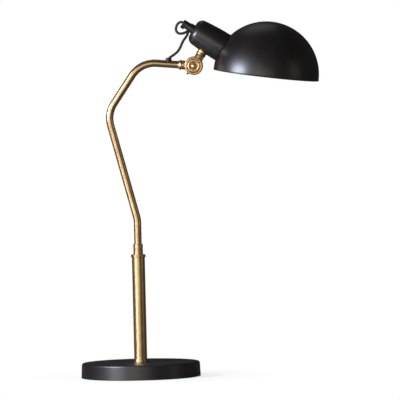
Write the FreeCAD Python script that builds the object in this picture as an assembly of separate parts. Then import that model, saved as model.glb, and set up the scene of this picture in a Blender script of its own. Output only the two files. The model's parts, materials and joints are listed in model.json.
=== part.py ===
"""Dome shade desk lamp: round weighted base, brass stem with a swivel, bent arm, clamped knuckle, dome.

Millimetres, +Z up, +X from the stem towards the shade. The origin is the middle of the base's underside.
The arm, the knuckle and the head lie in the plane Y = 0, and the knob faces -Y.
"""

import FreeCAD, Part
import math
import os

# ---------------------------------------------------------------- base
base_width = 203.0  # across the cover's lower edge, 8 in
base_height = 26.0  # table to the flat top
base_draft = 1.1  # how far the side leans in, per side
base_edge_radius = 4.0  # rounding between side and top
cover_wall = 1.2
cover_lift = 0.8  # the pad stands this far below the cover's edge
weight_gap = 6.2  # radial, between the weight and the top of the cover's wall
weight_skirt = 8.0  # radial width of the skirt that carries the pad
weight_web = 12.5  # thickness over the cavity
weight_chamfer = 3.0  # clears the cover's rounding
pad_inset = 3.5  # the pad's edge inside the cover's
pad_thickness = 3.0
inlet_height = 9.0  # mains inlet in the cover's back wall
inlet_body_radius = 4.0
inlet_bore_radius = 2.7
inlet_flange_radius = 5.6
inlet_flange = 1.4
inlet_length = 6.0
inlet_groove_width = 9.0  # way for the cord through the skirt

# ---------------------------------------------------------------- pipe and its fasteners
pipe_radius = 5.0  # 1/8 in lamp pipe
pipe_bore = 4.0
pipe_below_nut = 1.6
pipe_thread_fit = 0.05  # radial, between a pipe and what is screwed on it
washer_radius = 13.0
washer_thickness = 1.2
nut_flats = 16.0
nut_thickness = 4.0

# ---------------------------------------------------------------- stem
stem_radius = 11.0
stem_wall = 1.0
stem_length = 180.8
stem_ring_radius = 12.4
stem_ring_height = 4.5
stem_ring_web = 1.0  # floor that the tube stands on
stem_ring_edge = 0.7  # rounding
stem_seat_fit = 0.05  # radial, tube in ring

# ---------------------------------------------------------------- swivel
swivel_radius = 8.1
swivel_groove_radius = 7.65
swivel_groove_width = 0.9
swivel_lower_height = 7.1
swivel_ring_height = 2.3
swivel_upper_height = 6.8
swivel_chamfer = 0.8
swivel_running_gap = 0.1  # between the faces that turn on each other
swivel_web = 3.5  # web that the spindle turns in
swivel_shank_radius = 7.0
swivel_shank_length = 11.0
swivel_shank_fit = 0.1
spindle_radius = 4.0
spindle_bore = 2.9
spindle_fit = 0.05  # radial running fit
retainer_radius = 4.7
retainer_thickness = 2.4
stop_circle_radius = 6.0  # circle that the stop pin stands on
stop_pin_radius = 0.6
stop_pin_seat = 2.0
stop_groove_width = 1.8
stop_groove_depth = 1.5
stop_pin_top_gap = 0.3
stop_lug_width = 1.0

# ---------------------------------------------------------------- arm
arm_radius = 6.35  # 1/2 in tube
arm_wall = 1.0
arm_seat_depth = 4.5  # in the swivel's cap
arm_seat_fit = 0.05
arm_bend_radius = 46.0
arm_first_bend_height = 268.6  # above the table
arm_lean = 14.5  # degrees off vertical, away from the shade
arm_lower_run = 186.9  # first bend's corner to the second's
arm_rise = 55.9  # degrees above level
arm_upper_run = 104.5  # second corner to third
arm_dip = 5.2  # degrees below level
arm_end_run = 90.7  # third corner to the knuckle's pivot

# ---------------------------------------------------------------- cord, grommet and lead
cord_radius = 2.3
cord_fit = 0.2  # radial, cord in a bore
cord_share = 0.45  # share of the shorter run that an arc takes from it
grommet_from_pivot = 43.6  # along the arm
grommet_foot_radius = 5.4
grommet_top_radius = 4.6
grommet_proud = 4.2
grommet_edge = 0.8
grommet_neck_radius = 3.9
grommet_hole_fit = 0.1
grommet_seat_gap = 0.02
lead_offset = 2.0  # the lead lies this far below the arm's axis at its upper end
lead_bend_radius = 5.0

# ---------------------------------------------------------------- knuckle
lug_radius = 15.6
lug_face = 8.0  # outer face of a lug from the lamp's plane
lug_edge = 1.0
lug_gap = 0.45  # inner face of a lug from the lamp's plane
barrel_radius = 7.6
barrel_end = 21.0  # from the pivot
barrel_clearance = 0.45  # round the other half's lug
arm_stop = 17.5  # the arm tube's end, from the pivot
knuckle_washer_radius = 12.0
knuckle_washer_thickness = 0.8
bolt_radius = 3.0
bolt_fit = 0.05
bolt_head_radius = 7.5
bolt_head_height = 3.2
set_screw_radius = 1.5
set_screw_angle = 230.0  # degrees in the lamp's plane
set_screw_reach = 18.8  # outer end from the pivot
set_screw_socket_radius = 0.75
set_screw_socket_depth = 1.5
set_screw_depth = 4.2  # behind the lamp's plane
set_screw_fit = 0.02

# ---------------------------------------------------------------- knob
knob_washer_radius = 9.0
knob_washer_thickness = 0.8
knob_running_gap = 0.1
knob_radius = 14.1
knob_thickness = 5.4
knob_edge = 0.8
knob_rim_inner = 12.2
knob_groove_depth = 1.3
knob_rope_outer = 11.2
knob_rope_inner = 6.5
knob_rope_height = 1.1  # above the rim
knob_boss_radius = 5.3
knob_boss_groove = 1.5
knob_boss_height = 2.4  # above the rim
knob_knurls = 40
knob_knurl_radius = 0.75
knob_knurl_depth = 0.35
knob_strands = 24
knob_strand_radius = 0.55
knob_strand_depth = 0.4
knob_strand_slant = 25.0  # degrees off radial
knob_bore_depth = 4.4

# ---------------------------------------------------------------- neck
pivot_to_housing_axis = 52.0
neck_from_land = 25.9  # from the shade's land to the neck, along the housing's axis
head_dip = 32.9  # housing's axis below level, towards the shade
check_bead_radius = 8.75
check_bead_length = 2.4
check_groove = 0.6
check_groove_radius = 7.2
check_cove_length = 3.2
check_cove_radius = 6.8
neck_ring_radius = 8.0
neck_ring_length = 1.9
neck_seat_radius = 8.6
neck_joint_gap = 0.1
neck_nipple_start = 16.3  # from the pivot, past the other half's lug
neck_nipple_bore = 3.2
neck_nut_flats = 14.0
neck_nut_thickness = 2.8
neck_nut_fit = 0.15
neck_nipple_past_nut = 0.4

# ---------------------------------------------------------------- shade
shade_radius = 89.9
shade_wall = 1.2
shade_tip = 7.8  # degrees that the rim's plane leans down on the +X side
shade_rim_drop = 0.9  # rim's plane below the sphere's centre
shade_hem_radius = 1.1
shade_hole_radius = 18.2
shade_land_depth = 3.6  # the flat land lies this far inside the ball

# ---------------------------------------------------------------- housing (socket cup)
housing_wall = 1.2
housing_front_radius = 25.4
housing_middle_radius = 24.75
housing_rear_radius = 21.6  # where side and rear face would meet
housing_middle_length = 25.7  # from the shade's land to the middle section
housing_length = 59.6
housing_corner = 12.0

# ---------------------------------------------------------------- cord grip
grip_collar_radius = 7.75
grip_collar_length = 7.5
grip_radius = 6.6
grip_length = 20.6
grip_chamfer = 0.5
grip_bore_radius = 4.4
grip_cord_offset = 1.7  # the screw holds the cord this far off the bore's axis
grip_mouth_chamfer = 0.6
grip_thread_depth = 7.0
grip_screw_from_end = 3.3
grip_screw_radius = 1.5
grip_screw_fit = 0.05
grip_screw_head_radius = 3.3
grip_screw_head_height = 2.6
grip_screw_slot_width = 0.9
grip_screw_slot_depth = 1.2

# ---------------------------------------------------------------- lampholder and bulb
rear_nipple_bore = 3.0
rear_nut_flats = 14.0
rear_nut_thickness = 2.5
holder_cap_gap = 0.7  # between the rear nut and the cap
holder_cap_length = 13.5
holder_cap_neck_radius = 9.0
holder_cap_wall = 2.0
holder_radius = 18.0
holder_bore = 14.8
holder_proud = 4.8  # the lampholder's mouth stands this far into the shade
holder_floor_depth = 34.7  # its floor, from the shade's land
holder_floor_thickness = 3.0
holder_wire_hole = 2.5
holder_shell_radius = 13.9
holder_shell_wall = 0.4
holder_shell_length = 31.0
holder_shell_flange = 9.0
holder_contact_radius = 4.0
holder_contact_thickness = 1.8
shade_ring_radius = 23.0
shade_ring_thickness = 3.5
shade_ring_chamfer = 1.0
shade_ring_fit = 0.05
bulb_globe_radius = 22.5
bulb_tip_to_globe = 55.0
bulb_cap_length = 27.0
bulb_cap_radius = 12.6
bulb_thread_height = 0.5
bulb_thread_pitch = 3.6
bulb_threads = 5
bulb_tip_radius = 4.8
bulb_cone_length = 5.0
bulb_glass_wall = 0.9
bulb_neck_radius = 12.3

# Points of the cord between the grip and the arm, chosen by hand from the photographed loop.
# They are measured from the knuckle's pivot.
head_cord_route = [
    (-10.4, 0.0, 70.7),
    (-16.8, 0.0, 75.1),
    (-24.5, 0.0, 74.2),
    (-29.1, 0.0, 66.4),
    (-28.9, 0.2, 58.7),
    (-23.3, 0.8, 54.5),
    (-15.4, 3.0, 55.7),
    (-8.3, 8.5, 58.9),
    (-3.6, 13.5, 64.8),
    (-1.2, 20.5, 68.2),
    (-3.3, 28.0, 65.0),
    (-7.3, 31.0, 58.1),
    (-11.5, 30.0, 48.8),
    (-16.8, 26.0, 42.5),
    (-19.8, 19.0, 36.8),
    (-22.4, 12.0, 31.1),
    (-26.7, 6.0, 24.4),
    (-35.3, 1.5, 18.0),
    (-42.5, 0.0, 14.2),
    (-43.2, 0.0, 6.5),
]

TINY = 1e-4
ORIGIN = FreeCAD.Vector(0, 0, 0)
UP = FreeCAD.Vector(0, 0, 1)


# ---------------------------------------------------------------- helpers
def vec(x, y, z):
    return FreeCAD.Vector(x, y, z)


def in_plane(angle):
    """Unit vector in the lamp's plane, `angle` degrees above +X."""
    return vec(math.cos(math.radians(angle)), 0, math.sin(math.radians(angle)))


def aim(at, angle):
    """Placement that lays local +Z `angle` degrees above +X, with its start at a point."""
    return FreeCAD.Placement(at, FreeCAD.Rotation(vec(0, 1, 0), 90 - angle))


def put(shape, placement):
    shape.Placement = placement.multiply(shape.Placement)
    return shape


def line(start, end):
    """Straight edge between two (radius, height) points."""
    return Part.LineSegment(vec(start[0], 0, start[1]), vec(end[0], 0, end[1])).toShape()


def arc(start, middle, end):
    """Arc through three (radius, height) points."""
    ends = [vec(point[0], 0, point[1]) for point in (start, middle, end)]
    return Part.Arc(*ends).toShape()


def dome(radius, foot, crown):
    """Round edge from (radius, foot) to the axis at the height `crown`, on a ball centred on the axis."""
    rise = crown - foot
    ball = (radius**2 + rise**2) / (2 * abs(rise))
    half_way = math.asin(radius / ball) / 2
    up = math.copysign(1, rise)
    middle = (ball * math.sin(half_way), crown - up * ball * (1 - math.cos(half_way)))
    return arc((radius, foot), middle, (0, crown))


def spin(edges):
    """Solid of revolution about local Z, from a closed outline of edges."""
    return Part.Face(Part.Wire(edges)).revolve(ORIGIN, UP, 360)


def lathe(outline):
    """Solid of revolution about local Z, from the (radius, height) corners of a straight-sided outline."""
    return spin([line(a, b) for a, b in zip(outline, outline[1:] + outline[:1])])


def tube(outer, inner, low, high):
    return lathe([(inner, low), (outer, low), (outer, high), (inner, high)])


def rod(radius, low, high):
    return Part.makeCylinder(radius, high - low, vec(0, 0, low))


def circles(shape, radius, height):
    """The circular edges of a turned shape with this radius at this height."""
    found = []
    for edge in shape.Edges:
        curve = edge.Curve
        if not isinstance(curve, Part.Circle):
            continue
        if abs(curve.Radius - radius) < TINY and abs(curve.Center.z - height) < TINY:
            found.append(edge)
    return found


def hex_nut(flats, bore, low, high):
    """Hexagonal nut with its bore on local Z."""
    reach = flats / math.sqrt(3)
    angles = [k * math.pi / 3 for k in range(6)]
    corners = [vec(reach * math.cos(angle), reach * math.sin(angle), low) for angle in angles]
    block = Part.Face(Part.makePolygon(corners + corners[:1])).extrude(vec(0, 0, high - low))
    return block.cut(rod(bore, low, high))


def turns(points):
    """The turn at each inner point of a route, in radians, and the shorter of its two runs."""
    found = []
    for before, corner, after in zip(points, points[1:], points[2:]):
        turn = (corner - before).getAngle(after - corner)
        found.append((turn, min((corner - before).Length, (after - corner).Length)))
    return found


def rounded_path(points, radii):
    """Wire of straight runs through the points, with a tangent arc of its own radius at each inner point."""
    edges = []
    start = points[0]
    for before, corner, after, radius in zip(points, points[1:], points[2:], radii):
        incoming = (corner - before).normalize()
        outgoing = (after - corner).normalize()
        half_turn = incoming.getAngle(outgoing) / 2
        reach = radius * math.tan(half_turn)
        inward = (outgoing - incoming).normalize()
        arc_start = corner - incoming * reach
        arc_middle = corner + inward * (radius / math.cos(half_turn) - radius)
        arc_end = corner + outgoing * reach
        edges.append(Part.LineSegment(start, arc_start).toShape())
        edges.append(Part.Arc(arc_start, arc_middle, arc_end).toShape())
        start = arc_end
    edges.append(Part.LineSegment(start, points[-1]).toShape())
    return Part.Wire(edges)


def pipe_along(path, radius):
    """Solid round bar along a smooth wire."""
    first = path.Edges[0]
    start = first.valueAt(first.FirstParameter)
    section = Part.Wire([Part.Circle(start, first.tangentAt(first.FirstParameter), radius).toShape()])
    return path.makePipeShell([section], True, False)


# ---------------------------------------------------------------- places worked out from the sizes
cover_underside = base_height - cover_wall
weight_radius = base_width / 2 - base_draft - cover_wall - weight_gap
pad_radius = base_width / 2 - pad_inset
weight_floor = pad_thickness
cavity_roof = cover_underside - weight_web
nut_roof = cavity_roof - washer_thickness
pipe_low = nut_roof - nut_thickness - pipe_below_nut
stem_low = base_height + stem_ring_web
stem_high = stem_low + stem_length
collar_top = stem_high + stem_ring_web

swivel_low_groove = collar_top + swivel_lower_height
swivel_ring_low = swivel_low_groove + swivel_groove_width
swivel_ring_high = swivel_ring_low + swivel_ring_height
swivel_cap_low = swivel_ring_high + swivel_running_gap
swivel_cap_body = swivel_cap_low + swivel_groove_width
swivel_top = swivel_cap_body + swivel_upper_height
swivel_web_low = swivel_ring_low - swivel_web
arm_foot = swivel_top - arm_seat_depth
retainer_low = swivel_web_low - swivel_running_gap - retainer_thickness
pipe_high = retainer_low - retainer_thickness
swivel_shank_low = collar_top - swivel_shank_length

arm_angle = 180 - arm_dip  # from the pivot back along the arm
neck_angle = 90 - head_dip
rear_angle = 180 - head_dip  # from the shade's centre to the grip

first_corner = vec(0, 0, arm_first_bend_height)
second_corner = first_corner + in_plane(90 + arm_lean) * arm_lower_run
third_corner = second_corner + in_plane(arm_rise) * arm_upper_run
pivot = third_corner + in_plane(-arm_dip) * arm_end_run
arm_end = pivot + in_plane(arm_angle) * arm_stop
grommet_centre = pivot + in_plane(arm_angle) * grommet_from_pivot

# Heights in the head are measured along the housing's axis, from the shade's centre towards the grip.
housing_front = shade_radius - shade_land_depth
housing_middle = housing_front + housing_middle_length
housing_rear = housing_front + housing_length
holder_mouth = housing_front - holder_proud
holder_floor = housing_front + holder_floor_depth
housing_foot = pivot + in_plane(neck_angle) * pivot_to_housing_axis
shade_centre = housing_foot - in_plane(rear_angle) * (housing_front + neck_from_land)
neck_ring_start = barrel_end + check_groove + check_bead_length + neck_joint_gap
neck_seat_start = neck_ring_start + neck_ring_length + neck_joint_gap
knob_low = lug_face + knob_running_gap + knob_washer_thickness
knob_rim = knob_low + knob_thickness
grip_end = housing_rear + grip_length
grip_screw_at = grip_end - grip_screw_from_end
rear_nut_low = housing_rear - housing_wall - rear_nut_thickness
holder_cap_high = rear_nut_low - holder_cap_gap
holder_cap_low = holder_cap_high - holder_cap_length
bulb_tip = holder_floor - holder_contact_thickness
bulb_globe = bulb_tip - bulb_tip_to_globe

arm_frame = aim(pivot, arm_angle)
neck_frame = aim(pivot, neck_angle)
head_frame = aim(shade_centre, rear_angle)
knuckle_frame = FreeCAD.Placement(pivot, FreeCAD.Rotation(vec(1, 0, 0), 90))  # local +Z faces the front


# ---------------------------------------------------------------- base
def base_cover():
    """Spun shell: a shallow cone with a rounded shoulder, open below, pierced for the pipe and the inlet."""
    foot = base_width / 2
    shoulder = foot - base_draft
    outer = lathe([(0, cover_lift), (foot, cover_lift), (shoulder, base_height), (0, base_height)])
    outer = outer.makeFillet(base_edge_radius, circles(outer, shoulder, base_height))
    inner_foot = foot - cover_wall
    inner_top = shoulder - cover_wall
    roof = cover_underside
    inner = lathe([(0, cover_lift), (inner_foot, cover_lift), (inner_top, roof), (0, roof)])
    inner = inner.makeFillet(base_edge_radius - cover_wall, circles(inner, inner_top, roof))
    shell = outer.cut(inner).cut(rod(pipe_radius + pipe_thread_fit, 0, base_height))
    return shell.cut(inlet_cylinder(inlet_body_radius))


def inlet_cylinder(radius):
    """Cylinder along +Y through the back wall, on the inlet's axis."""
    return Part.makeCylinder(radius, base_width, vec(0, 0, inlet_height), vec(0, 1, 0))


def inlet_wall():
    """Distance from the stem's axis to the cover's side at the foot of the inlet's flange."""
    rise = inlet_height - inlet_flange_radius - cover_lift
    return base_width / 2 - base_draft * rise / (base_height - cover_lift)


def inlet_bushing():
    """Flanged bush through the back wall, where the mains cord goes in."""
    wall = inlet_wall()
    body = lathe(
        [
            (inlet_bore_radius, wall - inlet_length),
            (inlet_body_radius, wall - inlet_length),
            (inlet_body_radius, wall),
            (inlet_flange_radius, wall),
            (inlet_flange_radius - inlet_flange / 2, wall + inlet_flange),
            (inlet_bore_radius, wall + inlet_flange),
        ]
    )
    turned = FreeCAD.Placement(vec(0, 0, inlet_height), FreeCAD.Rotation(vec(1, 0, 0), -90))
    return put(body, turned)


def base_weight():
    """Cast-iron dish turned over: a thick web under the cover and a skirt down to the pad."""
    inner = weight_radius - weight_skirt
    bore = pipe_radius + pipe_thread_fit
    cast = lathe(
        [
            (bore, cavity_roof),
            (inner, cavity_roof),
            (inner, weight_floor),
            (weight_radius, weight_floor),
            (weight_radius, cover_underside - weight_chamfer),
            (weight_radius - weight_chamfer, cover_underside),
            (bore, cover_underside),
        ]
    )
    way = Part.makeBox(
        inlet_groove_width,
        base_width,
        cavity_roof - weight_floor,
        vec(-inlet_groove_width / 2, 0, weight_floor),
    )
    return cast.cut(way)


def base_pad():
    return rod(pad_radius, 0, pad_thickness)


def base_washer():
    return tube(washer_radius, pipe_radius + pipe_thread_fit, nut_roof, cavity_roof)


def base_nut():
    return hex_nut(nut_flats, pipe_radius + pipe_thread_fit, nut_roof - nut_thickness, nut_roof)


def stem_pipe():
    return tube(pipe_radius, pipe_bore, pipe_low, pipe_high)


# ---------------------------------------------------------------- stem
def stem_ring(bore):
    """Ring with a thin floor at local z = 0 and a seat for the tube above it."""
    seat = stem_radius + stem_seat_fit
    ring = lathe(
        [
            (bore, 0),
            (stem_ring_radius, 0),
            (stem_ring_radius, stem_ring_height),
            (seat, stem_ring_height),
            (seat, stem_ring_web),
            (bore, stem_ring_web),
        ]
    )
    return ring.makeFillet(stem_ring_edge, circles(ring, stem_ring_radius, stem_ring_height))


def stem_foot_ring():
    ring = stem_ring(pipe_radius + pipe_thread_fit)
    return put(ring, FreeCAD.Placement(vec(0, 0, base_height), FreeCAD.Rotation()))


def stem_tube():
    return tube(stem_radius, stem_radius - stem_wall, stem_low, stem_high)


def stem_collar():
    """The foot ring's twin, turned over on top of the tube."""
    ring = stem_ring(swivel_shank_radius + swivel_shank_fit)
    over = FreeCAD.Placement(vec(0, 0, collar_top), FreeCAD.Rotation(vec(1, 0, 0), 180))
    return put(ring, over)


# ---------------------------------------------------------------- swivel
def swivel_socket():
    """Lower half: a shank in the stem, a shoulder on the collar and a web that the spindle turns in."""
    thread = pipe_radius + pipe_thread_fit
    turning = spindle_radius + spindle_fit
    body = lathe(
        [
            (thread, swivel_shank_low),
            (swivel_shank_radius, swivel_shank_low),
            (swivel_shank_radius, collar_top),
            (swivel_radius, collar_top),
            (swivel_radius, swivel_low_groove),
            (swivel_groove_radius, swivel_low_groove),
            (swivel_groove_radius, swivel_ring_low),
            (turning, swivel_ring_low),
            (turning, swivel_web_low),
            (thread, swivel_web_low),
        ]
    )
    return body.cut(stop_pin_cylinder(stop_pin_radius, swivel_ring_low))


def stop_pin_cylinder(radius, high):
    """Upright cylinder at the stop pin's place, from the pin's seat up to a height."""
    low = swivel_ring_low - stop_pin_seat
    return Part.makeCylinder(radius, high - low, vec(stop_circle_radius, 0, low))


def swivel_stop_pin():
    return stop_pin_cylinder(stop_pin_radius, swivel_cap_low + stop_groove_depth - stop_pin_top_gap)


def swivel_ring():
    ring = tube(swivel_radius, spindle_radius + spindle_fit, swivel_ring_low, swivel_ring_high)
    return ring.cut(stop_pin_cylinder(stop_pin_radius, swivel_ring_high))


def swivel_cap():
    """Upper half: seats the arm, and has a round groove for the stop pin with one lug left in it."""
    body = lathe(
        [
            (spindle_radius, swivel_cap_low),
            (swivel_groove_radius, swivel_cap_low),
            (swivel_groove_radius, swivel_cap_body),
            (swivel_radius, swivel_cap_body),
            (swivel_radius, swivel_top - swivel_chamfer),
            (swivel_radius - swivel_chamfer, swivel_top),
            (arm_radius + arm_seat_fit, swivel_top),
            (arm_radius + arm_seat_fit, arm_foot),
            (spindle_radius, arm_foot),
        ]
    )
    half = stop_groove_width / 2
    groove = tube(
        stop_circle_radius + half,
        stop_circle_radius - half,
        swivel_cap_low,
        swivel_cap_low + stop_groove_depth,
    )
    lug = Part.makeBox(
        swivel_radius,
        stop_lug_width,
        stop_groove_depth,
        vec(-swivel_radius, -stop_lug_width / 2, swivel_cap_low),
    )
    return body.cut(groove.cut(lug))


def swivel_spindle():
    return tube(spindle_radius, spindle_bore, retainer_low, arm_foot)


def swivel_retainer():
    return tube(retainer_radius, spindle_radius, retainer_low, retainer_low + retainer_thickness)


# ---------------------------------------------------------------- arm
def arm_path():
    """Centre line of the bent tube, from its seat in the swivel to its seat in the knuckle."""
    points = [vec(0, 0, arm_foot), first_corner, second_corner, third_corner, arm_end]
    return rounded_path(points, [arm_bend_radius] * (len(points) - 2))


def across_arm(radius, low, high):
    """Cylinder square to the arm at the grommet, between two distances above the arm's axis."""
    return put(rod(radius, low, high), aim(grommet_centre, 90 - arm_dip))


def arm_tube():
    path = arm_path()
    bar = pipe_along(path, arm_radius)
    hollow = pipe_along(path, arm_radius - arm_wall)
    return bar.cut(hollow).cut(across_arm(grommet_neck_radius + grommet_hole_fit, 0, 2 * arm_radius))


def cord_points():
    return [pivot + vec(*point) for point in head_cord_route]


def cord_bore():
    """Way of the cord through the grommet, a little wider than the cord."""
    points = cord_points()[-3:]
    return pipe_along(rounded_path(points, cord_radii(points)), cord_radius + cord_fit)


def arm_grommet():
    """Rubber button, saddled on the tube, with a neck through its wall."""
    top = arm_radius + grommet_proud
    button = lathe(
        [
            (0, 0),
            (grommet_foot_radius, 0),
            (grommet_foot_radius, arm_radius),
            (grommet_top_radius, top),
            (0, top),
        ]
    )
    button = button.makeFillet(grommet_edge, circles(button, grommet_top_radius, top))
    button = put(button, aim(grommet_centre, 90 - arm_dip))
    reach = 2 * grommet_foot_radius
    saddle = put(rod(arm_radius + grommet_seat_gap, -reach, reach), aim(grommet_centre, arm_angle))
    neck = across_arm(grommet_neck_radius, arm_radius - arm_wall, arm_radius + grommet_proud / 2)
    return button.cut(saddle).fuse(neck).cut(cord_bore()).removeSplitter()


def arm_lead():
    """Lead from the grommet down through the arm, the swivel and the stem."""
    below = in_plane(-90 - arm_dip)
    cord_end = cord_points()[-1]
    turn_point = cord_end + below * ((grommet_centre - cord_end).dot(below) + lead_offset)
    last_corner = third_corner + below * lead_offset
    points = [vec(0, 0, pipe_low), first_corner, second_corner, last_corner, turn_point, cord_end]
    radii = [arm_bend_radius] * (len(points) - 3) + [lead_reach(points)]
    return pipe_along(rounded_path(points, radii), cord_radius)


def lead_reach(points):
    """Radius of the lead's last turn: what is asked for, or what its short end run allows."""
    turn, run = turns(points)[-1]
    return min(lead_bend_radius, 2 * cord_share * run / math.tan(turn / 2))


def check_bead(low):
    """Edges of a bead of the check rings, from its groove at `low` to its far foot."""
    near = low + check_groove
    far = near + check_bead_length
    foot = check_bead_radius - check_bead_length / 3
    return far, [
        line((check_groove_radius, low), (check_groove_radius, near)),
        line((check_groove_radius, near), (foot, near)),
        arc((foot, near), (check_bead_radius, (near + far) / 2), (foot, far)),
    ]


def arm_check_ring():
    """Ring on the arm's end: a groove, a bead and a cove that runs out on the tube."""
    bore = arm_radius + arm_seat_fit
    far, bead = check_bead(barrel_end)
    foot = check_bead_radius - check_bead_length / 3
    tail = far + check_cove_length
    sag = (foot + check_cove_radius) / 2 - (foot - check_cove_radius) / 4
    edges = [line((bore, barrel_end), (check_groove_radius, barrel_end))] + bead
    edges.append(arc((foot, far), (sag, far + check_cove_length / 3), (check_cove_radius, tail)))
    edges.append(line((check_cove_radius, tail), (bore, tail)))
    edges.append(line((bore, tail), (bore, barrel_end)))
    return put(spin(edges), arm_frame)


# ---------------------------------------------------------------- knuckle
def knuckle_half(angle, side, bore, bore_start):
    """Lug on one side of the lamp's plane, and a barrel centred on the plane that runs out at an angle.

    side is 1 in front and -1 behind. The barrel is cut away round the other half's lug.
    """
    inner = min(side * lug_gap, side * lug_face)
    outer = max(side * lug_gap, side * lug_face)
    lug = rod(lug_radius, inner, outer)
    lug = lug.makeFillet(lug_edge, circles(lug, lug_radius, side * lug_face))
    way = vec(math.cos(math.radians(angle)), math.sin(math.radians(angle)), 0)
    barrel = Part.makeCylinder(barrel_radius, barrel_end, ORIGIN, way)
    room = lug_radius + barrel_clearance
    depth = 2 * lug_face
    if side > 0:
        opposite = rod(room, -depth, lug_gap)
    else:
        opposite = rod(room, -lug_gap, depth)
    seat = Part.makeCylinder(bore, barrel_end, way * bore_start, way)
    half = lug.fuse(barrel.cut(opposite)).cut(seat).cut(rod(bolt_radius + bolt_fit, -depth, depth))
    return half.removeSplitter()


def set_screw_cylinder(radius, start, end):
    """Cylinder in the rear lug, pointing out at the set screw's angle, in the knuckle's frame."""
    way = vec(math.cos(math.radians(set_screw_angle)), math.sin(math.radians(set_screw_angle)), 0)
    return Part.makeCylinder(radius, end - start, vec(0, 0, -set_screw_depth) + way * start, way)


def knuckle_arm_half():
    half = knuckle_half(arm_angle, -1, arm_radius + arm_seat_fit, arm_stop)
    hole = set_screw_cylinder(set_screw_radius + set_screw_fit, bolt_radius, lug_radius + lug_edge)
    return put(half.cut(hole), knuckle_frame)


def knuckle_set_screw():
    """Socket set screw in the rear lug's rim, down to the bolt."""
    start = bolt_radius + bolt_fit
    socket_floor = set_screw_reach - set_screw_socket_depth
    screw = set_screw_cylinder(set_screw_radius, start, set_screw_reach)
    socket = set_screw_cylinder(set_screw_socket_radius, socket_floor, set_screw_reach)
    return put(screw.cut(socket), knuckle_frame)


def knuckle_head_half():
    return put(knuckle_half(neck_angle, 1, pipe_radius, neck_nipple_start), knuckle_frame)


def knuckle_washer():
    half = knuckle_washer_thickness / 2
    return put(tube(knuckle_washer_radius, bolt_radius + bolt_fit, -half, half), knuckle_frame)


def knuckle_bolt():
    """Bolt through both lugs, with a low domed head behind and its end in the knob."""
    end = knob_low + knob_bore_depth - knob_running_gap
    back = -lug_face
    edges = [
        line((0, back - bolt_head_height), (0, end)),
        line((0, end), (bolt_radius, end)),
        line((bolt_radius, end), (bolt_radius, back)),
        line((bolt_radius, back), (bolt_head_radius, back)),
        dome(bolt_head_radius, back, back - bolt_head_height),
    ]
    return put(spin(edges), knuckle_frame)


# ---------------------------------------------------------------- knob
def knob_washer():
    low = knob_low - knob_washer_thickness
    return put(tube(knob_washer_radius, bolt_radius + bolt_fit, low, knob_low), knuckle_frame)


def knob_blank():
    """Turned knob: smooth rim, groove, crowned ring, groove and domed boss, with a blind bore behind."""
    floor = knob_rim - knob_groove_depth
    boss_floor = knob_rim - knob_boss_groove
    crown = knob_rim + knob_rope_height
    bore = bolt_radius + bolt_fit
    rope_middle = (knob_rope_outer + knob_rope_inner) / 2
    edges = [
        line((bore, knob_low), (knob_radius, knob_low)),
        line((knob_radius, knob_low), (knob_radius, knob_rim - knob_edge)),
        arc(
            (knob_radius, knob_rim - knob_edge),
            (knob_radius - knob_edge * (1 - math.sqrt(0.5)), knob_rim - knob_edge * (1 - math.sqrt(0.5))),
            (knob_radius - knob_edge, knob_rim),
        ),
        line((knob_radius - knob_edge, knob_rim), (knob_rim_inner, knob_rim)),
        line((knob_rim_inner, knob_rim), (knob_rim_inner, floor)),
        line((knob_rim_inner, floor), (knob_rope_outer, floor)),
        arc((knob_rope_outer, floor), (rope_middle, crown), (knob_rope_inner, boss_floor)),
        line((knob_rope_inner, boss_floor), (knob_boss_radius, boss_floor)),
        dome(knob_boss_radius, boss_floor, knob_rim + knob_boss_height),
        line((0, knob_rim + knob_boss_height), (0, knob_low + knob_bore_depth)),
        line((0, knob_low + knob_bore_depth), (bore, knob_low + knob_bore_depth)),
        line((bore, knob_low + knob_bore_depth), (bore, knob_low)),
    ]
    return spin(edges)


def knob_knurl_cuts():
    """Straight flutes round the edge, deeper than they are wide apart from the rim's rounding."""
    centre = knob_radius + knob_knurl_radius - knob_knurl_depth
    step = 2 * math.pi / knob_knurls
    cuts = []
    for k in range(knob_knurls):
        spot = vec(centre * math.cos(k * step), centre * math.sin(k * step), knob_low)
        cuts.append(Part.makeCylinder(knob_knurl_radius, knob_thickness, spot))
    return cuts


def knob_strand_cuts():
    """Slanted round-bottomed cuts that divide the crowned ring into the strands of a rope."""
    middle = (knob_rope_outer + knob_rope_inner) / 2
    length = 2 * (knob_rope_outer - knob_rope_inner)
    height = knob_rim + knob_rope_height + knob_strand_radius - knob_strand_depth
    cuts = []
    for k in range(knob_strands):
        around = 2 * math.pi * k / knob_strands
        slanted = around + math.radians(knob_strand_slant)
        way = vec(math.cos(slanted), math.sin(slanted), 0)
        spot = vec(middle * math.cos(around), middle * math.sin(around), height)
        cuts.append(Part.makeCylinder(knob_strand_radius, length, spot - way * (length / 2), way))
    return cuts


def knuckle_knob():
    return put(knob_blank().cut(knob_knurl_cuts() + knob_strand_cuts()), knuckle_frame)


# ---------------------------------------------------------------- neck
def neck_check_ring():
    """Bead ring on the neck's barrel."""
    far, bead = check_bead(barrel_end)
    foot = check_bead_radius - check_bead_length / 3
    bore = pipe_radius + pipe_thread_fit
    edges = [line((bore, barrel_end), (check_groove_radius, barrel_end))] + bead
    edges.append(line((foot, far), (bore, far)))
    edges.append(line((bore, far), (bore, barrel_end)))
    return put(spin(edges), neck_frame)


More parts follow.
